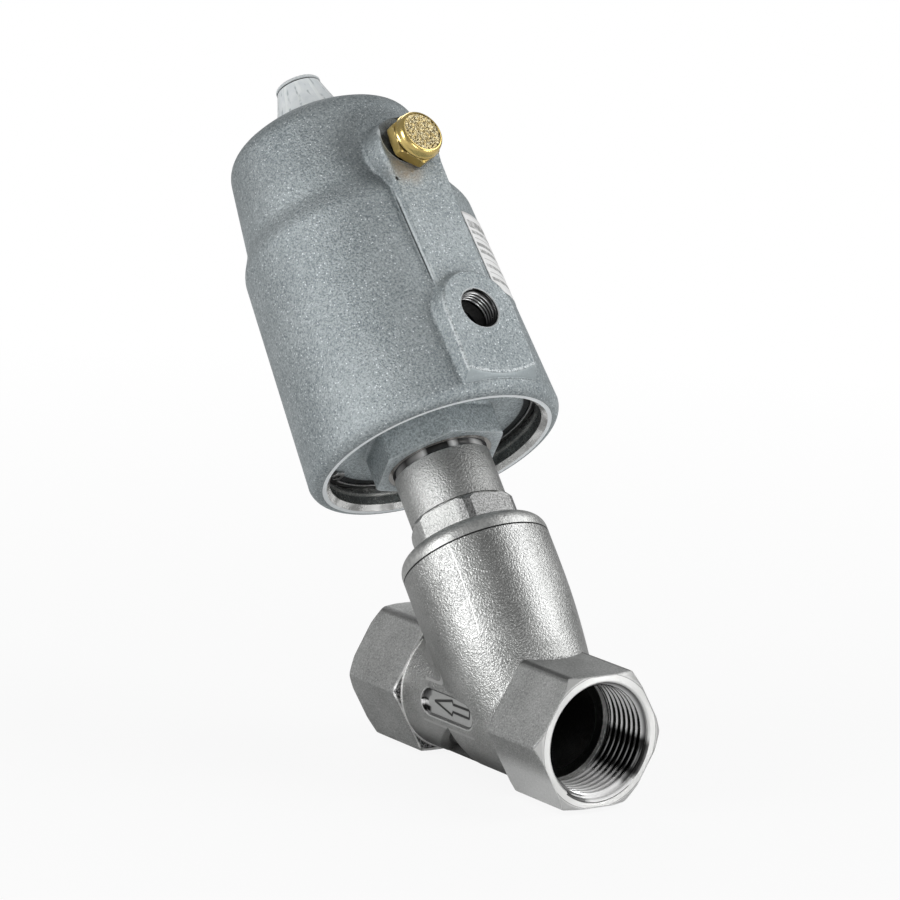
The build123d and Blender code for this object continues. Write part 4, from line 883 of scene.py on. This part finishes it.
def body_steel(depth):
    """Valve body: blasted casting, satin hexagon flats, bright turned ends, threaded mouths and the cut arrow."""
    f, crinkle, cloud, height, shade = blasted_steel("body steel")
    x, y, z = f.axes()
    along, away = f.around(SPINDLE)
    line_away = f.around(LINE)[1]
    reach = abs(x - FACE_TO_FACE / 2)
    lean, tilt = z * math.cos(math.radians(60.0)), y * math.sin(math.radians(60.0))
    flats = abs(z).largest(abs(lean + tilt), abs(lean - tilt))
    grain = f.noise(0.42, detail=1.5)
    rings = f.marks(line_away * 5.0)

    flat = flats.between(HEX_HALF - 0.25, HEX_HALF + 0.07) * reach.above(HEX_START - 0.1)
    under = flat * z.below(-6.0, 3.0) * x.below(FACE_TO_FACE / 2)
    grey = f.ramp(cloud * 0.35 + grain * 0.65, (0.34, (0.30, 0.305, 0.30)), (0.66, (0.54, 0.545, 0.54)))
    turned = reach.above(35.8) * flats.below(HEX_HALF - 0.25)
    bore = line_away.below(14.3) * reach.above(BORE_STOP)
    bright = turned.largest(bore)
    polish = f.ramp(rings, (0.3, (0.92, 0.925, 0.91)), (0.7, (1.0, 1.0, 0.985)))
    hollow = line_away.below(12.9) * reach.below(BORE_STOP)
    inner = hollow.largest(away.below(14.2) * along.below(BRANCH_TOP) * line_away.below(BORE_WALL))
    stop = reach.between(BORE_STOP - 0.2, BORE_STOP + 0.25) * line_away.below(13.4)
    stop_light_and_shade = f.mix(line_away.above(12.15, 0.12), (0.015, 0.016, 0.015), (1.0, 1.0, 0.99))
    well, turn = bore * line_away.below(BORE_WALL - 0.2), underside_turn(y, z)
    lit = well * turn.between(0.85, 1.75, 0.10)

    hex_back_face = x.between(55.80, 56.30) * flats.below(HEX_HALF - 0.1)
    hex_back_highlight = flats.above(14.45, 0.12).largest(line_away.below(15.0, 0.12))
    hex_back_light_and_shade = f.mix(hex_back_highlight, f.ramp(grain, (0.40, 0.06), (0.62, 0.42)), (0.98, 0.98, 0.97))
    lobe = f.across(away)
    branch = along.above(12.0, 6.0) * along.below(BRANCH_TOP) * reach.below(HEX_START + 0.1)
    gleam = lobe.between(0.24, 0.40, 0.06).largest(lobe.between(0.72, 0.84, 0.05) * 2.0)
    joint = along.between(BRANCH_TOP, BRANCH_TOP + 0.22, 0.06) * away.between(16.8, 17.6)

    flatland = f.node("ShaderNodeCombineXYZ", {}, {0: x, 2: z})
    pad = y.between(PAD_FACE - 0.1, PAD_FACE + 0.1) * x.between(28.1, 47.9)
    marked = y.between(PAD_FACE - 0.8, PAD_FACE + 0.8)
    cut = f.strokes(flatland, ARROW).below(0.25, 0.10) * marked
    bound = f.strokes(flatland, PAD_LINE)
    border = bound.between(2.62, 3.05, 0.06) * marked
    pad_rim_highlight = bound.between(3.05, 3.45, 0.08) * marked * (z - x * 0.25).below(-9.0, 1.0)
    scoop = bound.between(1.3, 3.1, 0.2) * x.above(45.4, 0.5) * marked
    scoop_light_and_shade = f.ramp(
        z / 6.4 + 0.5, (0.0, 0.95), (0.10, 0.30), (0.16, 0.02), (0.28, 0.03), (0.36, 0.95), (0.46, 0.80),
        (0.50, 0.03), (0.54, 0.05), (0.58, 0.34), (0.80, 0.20), (1.0, 0.03),
    )
    shade = f.coats(
        shade,
        # painted shade: the tube and branch darker towards the bottom
        (z.below(-9.0, 3.0) * reach.below(HEX_START + 0.1) * 0.85, (0.07, 0.07, 0.068)),
        # painted reflections: a dark band, two highlight lobes and a darker left edge across the branch
        (branch * lobe.between(0.54, 0.68, 0.06) * 0.40, (0.10, 0.10, 0.098)),
        (branch * gleam * 0.18, (0.85, 0.855, 0.85)),
        (branch * lobe.below(0.14, 0.08) * 0.30, (0.14, 0.14, 0.138)),
        (flat, grey),
        (flat * f.cells(0.8).below(0.15, 0.05) * 0.6, (0.80, 0.805, 0.80)),
        # painted shade: the upper flats darker towards their corners
        (flat * line_away.above(16.80, 0.20) * z.above(4.0) * 0.7, (0.16, 0.16, 0.158)),
        # painted light: the lower flats lightened
        (under * 0.6, (0.85, 0.855, 0.85)),
        (pad * 0.8, (0.64, 0.645, 0.635)),
        # painted highlight on the pad's lower outer rim
        (pad_rim_highlight * 0.6, (0.95, 0.955, 0.94)),
        # painted shade along the pad's sunk wall, over its bump
        (border * 0.6, 0.10),
        # painted light and shade in bands down the pad's deep end
        (scoop, scoop_light_and_shade),
        (bright, polish),
        (turned * line_away.above(15.15, 0.03) * 0.5, (0.40, 0.403, 0.397)),
        (turned * line_away.between(15.08, 15.2, 0.03) * 0.7, 0.08),
        # painted shade: one sector of the bore painted black
        (well * turn.between(0.12, 0.75, 0.08) * 0.9, 0.03),
        # painted highlight lines at the edges of the outlet hexagon's back face, over a painted dark face
        (hex_back_face, hex_back_light_and_shade),
        (joint, 0.03),
        # painted shade: the hollow inside the body painted dark
        (inner, (0.10, 0.10, 0.098)),
        # painted highlight and shade: a bright line and a dark ring where the thread ends
        (stop, stop_light_and_shade),
        # painted shade in the cut arrow, over its bump
        (cut * 0.9, 0.04),
        # painted light: the lower wall of the bore painted white
        (lit, (1.0, 1.0, 0.99)),
    )
    calm = (flat * 0.82).largest(bright, pad * 0.7)
    height = height * (0.85 - calm * 0.85) + rings * 0.12 * turned + grain * flat * 0.35 - cut * 2.0 - border * 0.8
    rough = (0.33 + 0.12 * crinkle) * (1 - bright) + flat * 0.13 + bright * (0.13 + 0.12 * turned) + 0.25 * lit
    return f.end(shade, rough, height, depth, 0.35, metallic=1 - 0.7 * lit - 0.45 * turned - 0.45 * under)


def bonnet_steel(depth):
    """Bonnet: turned collar, satin hexagon, blasted shank and polished neck, told apart by their stations, with painted
    light and shade across the shank and hexagon and painted reflection bands on the neck.
    """
    f, crinkle, _, height, shade = blasted_steel("bonnet steel")
    along, away = f.around(SPINDLE)
    across = f.across(away)
    collar = along.below(COLLAR_TOP)
    hexagon = along.between(COLLAR_TOP, HEXAGON_TOP) * away.above(11.42)
    shank = along.between(HEXAGON_TOP + 0.25, SHANK_TOP)
    neck = along.above(SHANK_TOP)
    seam = along.between(COLLAR_TOP - 0.05, COLLAR_TOP + 0.2, 0.08) * away.below(13.2)
    seam = along.between(39.68, 39.9, 0.05).largest(seam)
    stain = f.noise(1.6, detail=4.0, roughness=0.7)
    neck_reflections = f.ramp(
        across, (0.06, 0.5), (0.15, 0.08), (0.28, 0.50), (0.36, 1.0), (0.41, 0.03), (0.64, 0.02), (0.70, 1.0),
        (0.76, 0.06), (0.86, 0.12), (0.92, 0.85), (1.0, 0.5),
    )
    shade = f.coats(
        shade,
        (collar, f.ramp(stain, (0.35, (0.44, 0.445, 0.44)), (0.62, (0.62, 0.625, 0.61)))),
        # painted light and shade across the shank: lighter on the left, darker on the right
        (shank * across.between(0.10, 0.50, 0.10) * 0.3, (0.85, 0.855, 0.85)),
        (shank * across.above(0.50, 0.12) * 0.45, (0.16, 0.16, 0.157)),
        # painted shade on the hexagon's right-hand facets
        (hexagon * across.above(0.5, 0.03) * 0.75, f.ramp(crinkle, (0.40, 0.10), (0.60, 0.34))),
        (hexagon * away.below(17.0) * away.above(15.95, 0.08) * 0.6, 0.10),
        # painted reflections: bright and dark bands round the neck
        (neck, neck_reflections),
        (seam, 0.03),
    )
    calm = (collar * 0.6).largest(hexagon * 0.5, neck)
    rough = (0.33 + 0.12 * crinkle + hexagon * 0.1 + shank * 0.08 + collar * 0.06) * (1 - neck) + neck * 0.12
    return f.end(shade, rough, height * (1 - calm), depth, 0.3, metallic=1 - neck * 0.85)


def thread_steel():
    """Pipe thread: painted light on the crests and painted shade in the roots, told apart by their distance from the
    line, with a sector painted black and the lower wall painted white.
    """
    f = Finish("threaded steel")
    away = f.around(LINE)[1]
    stain = f.noise(1.6, detail=3.0)
    turn = underside_turn(*f.axes()[1:])
    lit = turn.between(0.95, 1.75, 0.10)
    shade = f.coats(
        f.ramp((away - 12.0) * 0.5 + stain * 0.06, (0.08, 0.95), (0.28, 0.60), (0.52, 0.20)),
        # painted shade: one sector painted black
        (turn.between(0.05, 0.78, 0.08) * 0.97, 0.01),
        # painted light: the lower wall painted white
        (lit * 0.85, (1.0, 1.0, 0.99)),
    )
    return f.end(shade, 0.10 + 0.1 * stain + 0.3 * lit, stain, 0.02, 0.1, metallic=1 - 0.8 * lit)


def port_steel():
    """Pilot thread: painted light on the crests and painted shade in the roots, and painted black where the hole runs
    down into shade.
    """
    f = Finish("port steel", metallic=1.0)
    away = f.around(at_boss(PILOT_STATION))[1]
    rise = f.along(STEM, CROSSING + PILOT_STATION * STEM)
    stain = f.noise(0.8)
    shade = f.ramp((away - 4.3) * 1.6, (0.05, 0.85), (0.35, 0.40), (0.75, 0.05))
    # painted shade: black deeper down the hole
    shade = f.mix(rise.below(-0.5, 2.5) * 0.97, shade, 0.012)
    return f.end(shade, 0.22 + 0.15 * stain, stain, 0.02, 0.08)


def ring_steel():
    """Spring ring: flat faces painted dull as shade, with a painted highlight on the edges."""
    f = Finish("ring steel", metallic=1.0)
    stain = f.noise(0.8, detail=3.0)
    # painted shade on the flat faces and painted highlight on the edges
    shade = f.mix(f.edge_wear_and_sheen(0.25), f.ramp(stain, (0.3, 0.22), (0.7, 0.42)), (0.90, 0.90, 0.88))
    return f.end(shade, 0.26 + 0.1 * stain, stain, 0.02, 0.12)


def plain_metal(name, color, roughness):
    """Turned metal: fine tool marks across the stem axis and slight staining."""
    f = Finish(name, metallic=1.0)
    lines = f.marks(f.along(STEM, CROSSING) * 6.0)
    stain = f.noise(3.0, detail=3.0)
    shade = f.ramp(stain * 0.5 + lines * 0.5, (0.3, dimmed(color, 0.82)), (0.7, color))
    return f.end(shade, roughness + 0.12 * stain, lines, 0.03, 0.08)


def silencer_brass(color):
    """Silencer shell: satin hexagon, a groove painted dark as shade and a polished rolled collar, told apart by their
    height.
    """
    f = Finish("silencer brass", metallic=1.0)
    rise, away = f.around(at_boss(SILENCER_STATION))
    stain, grain = f.noise(2.0, detail=3.0), f.noise(0.4)
    groove = rise.between(31.88, 32.22, 0.02)
    foot = rise.below(29.28)
    collar = rise.above(32.2)
    lower = f.along(STEM, CROSSING + EXHAUST_STATION * STEM).below(-1.5, 2.5)
    shade = f.coats(
        f.ramp(stain * 0.6 + grain * 0.4, (0.3, dimmed(color, 0.80)), (0.7, color)),
        # painted shade: the lower side of the shell darkened
        (lower * (1 - collar) * 0.55, (0.30, 0.20, 0.04)),
        # paler brass edges: partly wear, partly a painted highlight
        (f.edge_wear_and_sheen(0.2) * (1 - collar) * 0.6, (1.0, 0.92, 0.70)),
        # painted shade in the groove between the disc and the collar
        (away.between(4.55, 4.86, 0.06) * collar * 0.9, (0.10, 0.07, 0.02)),
        # painted shade: the groove and the foot painted nearly black
        (groove.largest(foot), (0.03, 0.02, 0.008)),
    )
    rough = (0.32 + 0.1 * grain) * (1 - collar) + (0.20 + 0.08 * stain) * collar
    return f.end(shade, rough, grain, 0.015)


def sintered():
    """Sintered bronze: pale grain tops over dark hollows, both with small shifts of hue."""
    f = Finish("sintered bronze", metallic=0.55)
    speck = f.noise(0.36, roughness=0.6)
    top = f.mix(f.noise(0.9).above(0.5, 0.15), (1.0, 0.80, 0.38), (1.0, 0.90, 0.60))
    shade = f.mix(speck.above(0.47, 0.08), (0.14, 0.095, 0.03), top)
    return f.end(shade, 0.34 + 0.2 * speck, speck, 0.12)


def dome_plastic():
    """Milky clear moulding: thin lengthwise streaks, a grey cap and painted shade in the groove under it."""
    f = Finish("dome plastic", transmission_weight=0.06, ior=1.49)
    along = f.along(STEM, CROSSING)
    turn = f.along(BOSS, CROSSING).math("ARCTAN2", f.along(SIDE, CROSSING))
    sway = f.noise(5.0, detail=1.0) * 2.6
    pale = (turn * 11.0 + sway).math("SINE").above(0.72, 0.16) * f.noise(3.2, detail=1.0).above(0.42, 0.12)
    dark = (turn * 17.0 - sway).math("SINE").above(0.86, 0.10) * f.noise(2.0, detail=1.0).above(0.52, 0.08)
    cap = along.above(DOME_LINE + 0.2)
    shade = f.coats(
        f.ramp(f.noise(2.5), (0.3, (0.80, 0.85, 0.87)), (0.7, (0.93, 0.965, 0.975))),
        (dark * 0.6, (0.38, 0.43, 0.45)),
        (pale * 0.95, (0.96, 1.0, 1.0)),
        (cap, f.ramp(f.noise(0.4), (0.3, (0.58, 0.62, 0.63)), (0.7, (0.72, 0.755, 0.765)))),
        # painted shade in the groove under the cap
        (along.between(DOME_LINE - 0.05, DOME_LINE + 0.22, 0.04), (0.015, 0.018, 0.02)),
    )
    return f.end(shade, 0.20 + 0.25 * cap, pale - dark, 0.05)


def label_paper():
    """Printed film: white ground with thin rules and plain grey bars laid out on its own plan."""
    f = Finish("label film", coat_weight=0.25, coat_roughness=0.25)
    plan = f.node("ShaderNodeUVMap", {"uv_map": "plan"}, {})
    u, v = (f.node("ShaderNodeSeparateXYZ", {}, {0: plan}, out=axis) for axis in "XY")
    broken = f.noise(1.3).above(0.46, 0.1)
    fibre = f.noise(0.5, detail=3.0)
    bars = [
        v.between(low, high, 0.006) * u.between(0.022, end, 0.004)
        for low, high, end in (
            (0.80, 0.90, 0.55), (0.72, 0.765, 0.80), (0.56, 0.61, 0.50), (0.47, 0.52, 0.70), (0.29, 0.335, 0.62),
            (0.12, 0.165, 0.78),
        )
    ]
    rules = [v.between(level - 0.006, level + 0.006, 0.003) * u.between(0.03, 0.97) for level in (0.665, 0.40, 0.225)]
    ink = bars[0].largest(*bars[1:]) * (0.45 + 0.55 * broken)
    shade = f.coats(
        f.ramp(fibre, (0.3, (0.96, 0.965, 0.96)), (0.7, (1.0, 1.0, 0.995))),
        (rules[0].largest(*rules[1:]) * 0.6, (0.34, 0.34, 0.33)),
        (ink * (0.55 + 0.25 * fibre), 0.10),
    )
    return f.end(shade, 0.36 + 0.1 * fibre, fibre, 0.01)


def moulded(name, color, roughness):
    """Moulded or cut soft material: an even colour with a fine grain."""
    f = Finish(name)
    speck = f.noise(0.5, detail=3.0)
    shade = f.ramp(speck, (0.3, dimmed(color, 0.88)), (0.7, color))
    return f.end(shade, roughness + 0.1 * speck, speck, 0.03, 0.1)


class ValveFinish(bpy.types.PropertyGroup):
    """Sizes and colours that a user would change."""

    grain_depth: bpy.props.FloatProperty(
        name="Grain depth", description="Depth of the grain of the castings", default=0.00014, min=0.0, max=0.001,
        unit="LENGTH", precision=5,
    )
    brass: bpy.props.FloatVectorProperty(
        name="Brass", description="Colour of the silencer", subtype="COLOR", default=(0.92, 0.70, 0.26), min=0, max=1,
    )
    light: bpy.props.FloatProperty(
        name="Light", description="Strength of the studio lamps", default=1.0, min=0.0, max=4.0,
    )


class VALVE_OT_finishes(bpy.types.Operator):
    """Gives every piece of the frame its metal, plastic or rubber finish"""

    bl_idname = "valve.finishes"
    bl_label = "Finishes"

    def execute(self, context):
        settings = context.scene.valve_finish
        depth, brass = settings.grain_depth / MM, tuple(settings.brass)
        for material, *names in (
            (housing_skin(depth), "housing_casting"),
            (cover_skin(depth), "cylinder_cover"),
            (body_steel(depth), "valve_body"),
            (bonnet_steel(depth), "bonnet"),
            (thread_steel(), "inlet_thread", "outlet_thread"),
            (port_steel(), "pilot_thread"),
            (plain_metal("turned steel", (0.72, 0.72, 0.71), 0.26),
             "stem", "valve_plug", "seal_washer", "plug_nut", "piston_nut", "packing_washer"),
            (plain_metal("drawn wire", (0.55, 0.55, 0.56), 0.3), "main_spring", "packing_spring"),
            (ring_steel(), "spring_ring"),
            (plain_metal("turned brass", brass, 0.20), "gland_bush"),
            (silencer_brass(brass), "silencer_shell"),
            (sintered(), "sintered_disc"),
            (moulded("sealing rubber", (0.03, 0.03, 0.032), 0.6),
             "cover_o_ring", "neck_seal", "stem_seal", "dome_o_ring", "piston_seal"),
            (moulded("white sealing plastic", (0.82, 0.82, 0.79), 0.45),
             "bonnet_gasket", "stem_wiper", "packing_rings", "seat_seal", "piston_guide_ring"),
            (plain_metal("piston metal", (0.75, 0.75, 0.76), 0.35), "piston"),
            (moulded("indicator plastic", (0.55, 0.03, 0.02), 0.3), "indicator_pin"),
            (dome_plastic(), "dome_moulding"),
            (label_paper(), "label_film"),
        ):
            paint(material, *names)
        return {"FINISHED"}


class VALVE_OT_stage(bpy.types.Operator):
    """Sets the pale floor, the soft lamps and the camera of the picture"""

    bl_idname = "valve.stage"
    bl_label = "Stage"

    def execute(self, context):
        strength = context.scene.valve_finish.light
        world = bpy.data.worlds.new("studio")
        context.scene.world = world
        world.use_nodes = True
        sky = Tree(world.node_tree)
        seen, through = (
            sky.node("ShaderNodeLightPath", {}, {}, out=ray) for ray in ("Is Camera Ray", "Is Transmission Ray")
        )
        level = sky.node("ShaderNodeMapRange", {}, {"Value": seen.largest(through), "To Min": 0.26})
        sky.fill(sky.find("BACKGROUND"), {"Color": (1, 1, 1, 1), "Strength": level})

        target = np.array([0.055, 0.0, 0.06])
        floor = bpy.data.objects.new("floor", bpy.data.meshes.new("floor"))
        corners = [(x, y, FLOOR_LEVEL) for x, y in ((-20, -20), (20, -20), (20, 20), (-20, 20))]
        floor.data.from_pydata(corners, [], [(0, 1, 2, 3)])
        context.scene.collection.objects.link(floor)
        f = Finish("floor", roughness=0.9)
        f.feed(base_color=f.mix(f.noise(200.0), 0.70, 0.72))
        far = f.node("ShaderNodeMapRange", {}, {
            "Value": f.gap(target / MM), "From Min": 90.0, "From Max": 500.0, "To Min": 0.90, "To Max": 1.0,
        })
        glow = f.node("ShaderNodeEmission", {}, {"Color": (1, 1, 1, 1), "Strength": 1.0})
        ray = f.node("ShaderNodeLightPath", {}, {}, out="Is Camera Ray")
        mixed = f.node("ShaderNodeMixShader", {}, {0: ray * far, 1: Socket(f, f.shader.outputs[0]), 2: glow})
        f.fill(f.find("OUTPUT_MATERIAL"), {"Surface": mixed})
        floor.data.materials.append(f.material)

        for name, place, size, power in (
            ("key", (0.20, 1.05, 0.42), 0.50, 5.7),
            ("side", (-0.30, -0.78, 0.75), 0.80, 4.9),
            ("front", (-1.0, 0.35, 0.12), 0.45, 3.0),
            ("low", (-0.85, -0.62, 0.12), 0.45, 2.2),
            ("rear", (0.95, -0.35, 0.55), 0.45, 1.5),
        ):
            data = bpy.data.lights.new(name, "AREA")
            data.shape = "DISK"
            data.size = size
            data.energy = power * strength
            lamp = bpy.data.objects.new(name, data)
            context.scene.collection.objects.link(lamp)
            way = target - np.array(place)
            lamp.location = place
            tilt = math.acos(-way[2] / np.linalg.norm(way))
            lamp.rotation_euler = (tilt, 0, math.atan2(way[1], way[0]) - math.pi / 2)

        data = bpy.data.cameras.new("camera")
        data.lens = CAMERA_LENS
        data.sensor_width = 36.0
        data.clip_end = 60.0
        camera = bpy.data.objects.new("camera", data)
        camera.location = CAMERA_PLACE
        camera.rotation_euler = tuple(math.radians(a) for a in CAMERA_DEGREES)
        context.scene.collection.objects.link(camera)
        context.scene.camera = camera
        context.scene.view_settings.view_transform = "Standard"
        return {"FINISHED"}


class VALVE_PT_panel(bpy.types.Panel):
    """Lists the steps in the sidebar"""

    bl_label = "Shut-off valve"
    bl_idname = "VALVE_PT_panel"
    bl_space_type = "VIEW_3D"
    bl_region_type = "UI"
    bl_category = "Shut-off valve"

    def draw(self, context):
        settings = context.scene.valve_finish
        for key in ValveFinish.__annotations__:
            self.layout.prop(settings, key)
        for step in STEPS:
            self.layout.operator(step.bl_idname)


STEPS = (
    VALVE_OT_housing, VALVE_OT_threads, VALVE_OT_shell, VALVE_OT_silencer, VALVE_OT_ring, VALVE_OT_dome,
    VALVE_OT_label, VALVE_OT_finishes, VALVE_OT_stage,
)
CLASSES = (ValveFinish, *STEPS, VALVE_PT_panel)


def register():
    for item in CLASSES:
        bpy.utils.register_class(item)
    bpy.types.Scene.valve_finish = bpy.props.PointerProperty(type=ValveFinish)


def unregister():
    del bpy.types.Scene.valve_finish
    for item in reversed(CLASSES):
        bpy.utils.unregister_class(item)


def main():
    register()
    for step in STEPS:
        group, name = step.bl_idname.split(".")
        getattr(getattr(bpy.ops, group), name)()


if __name__ == "__main__":
    main()
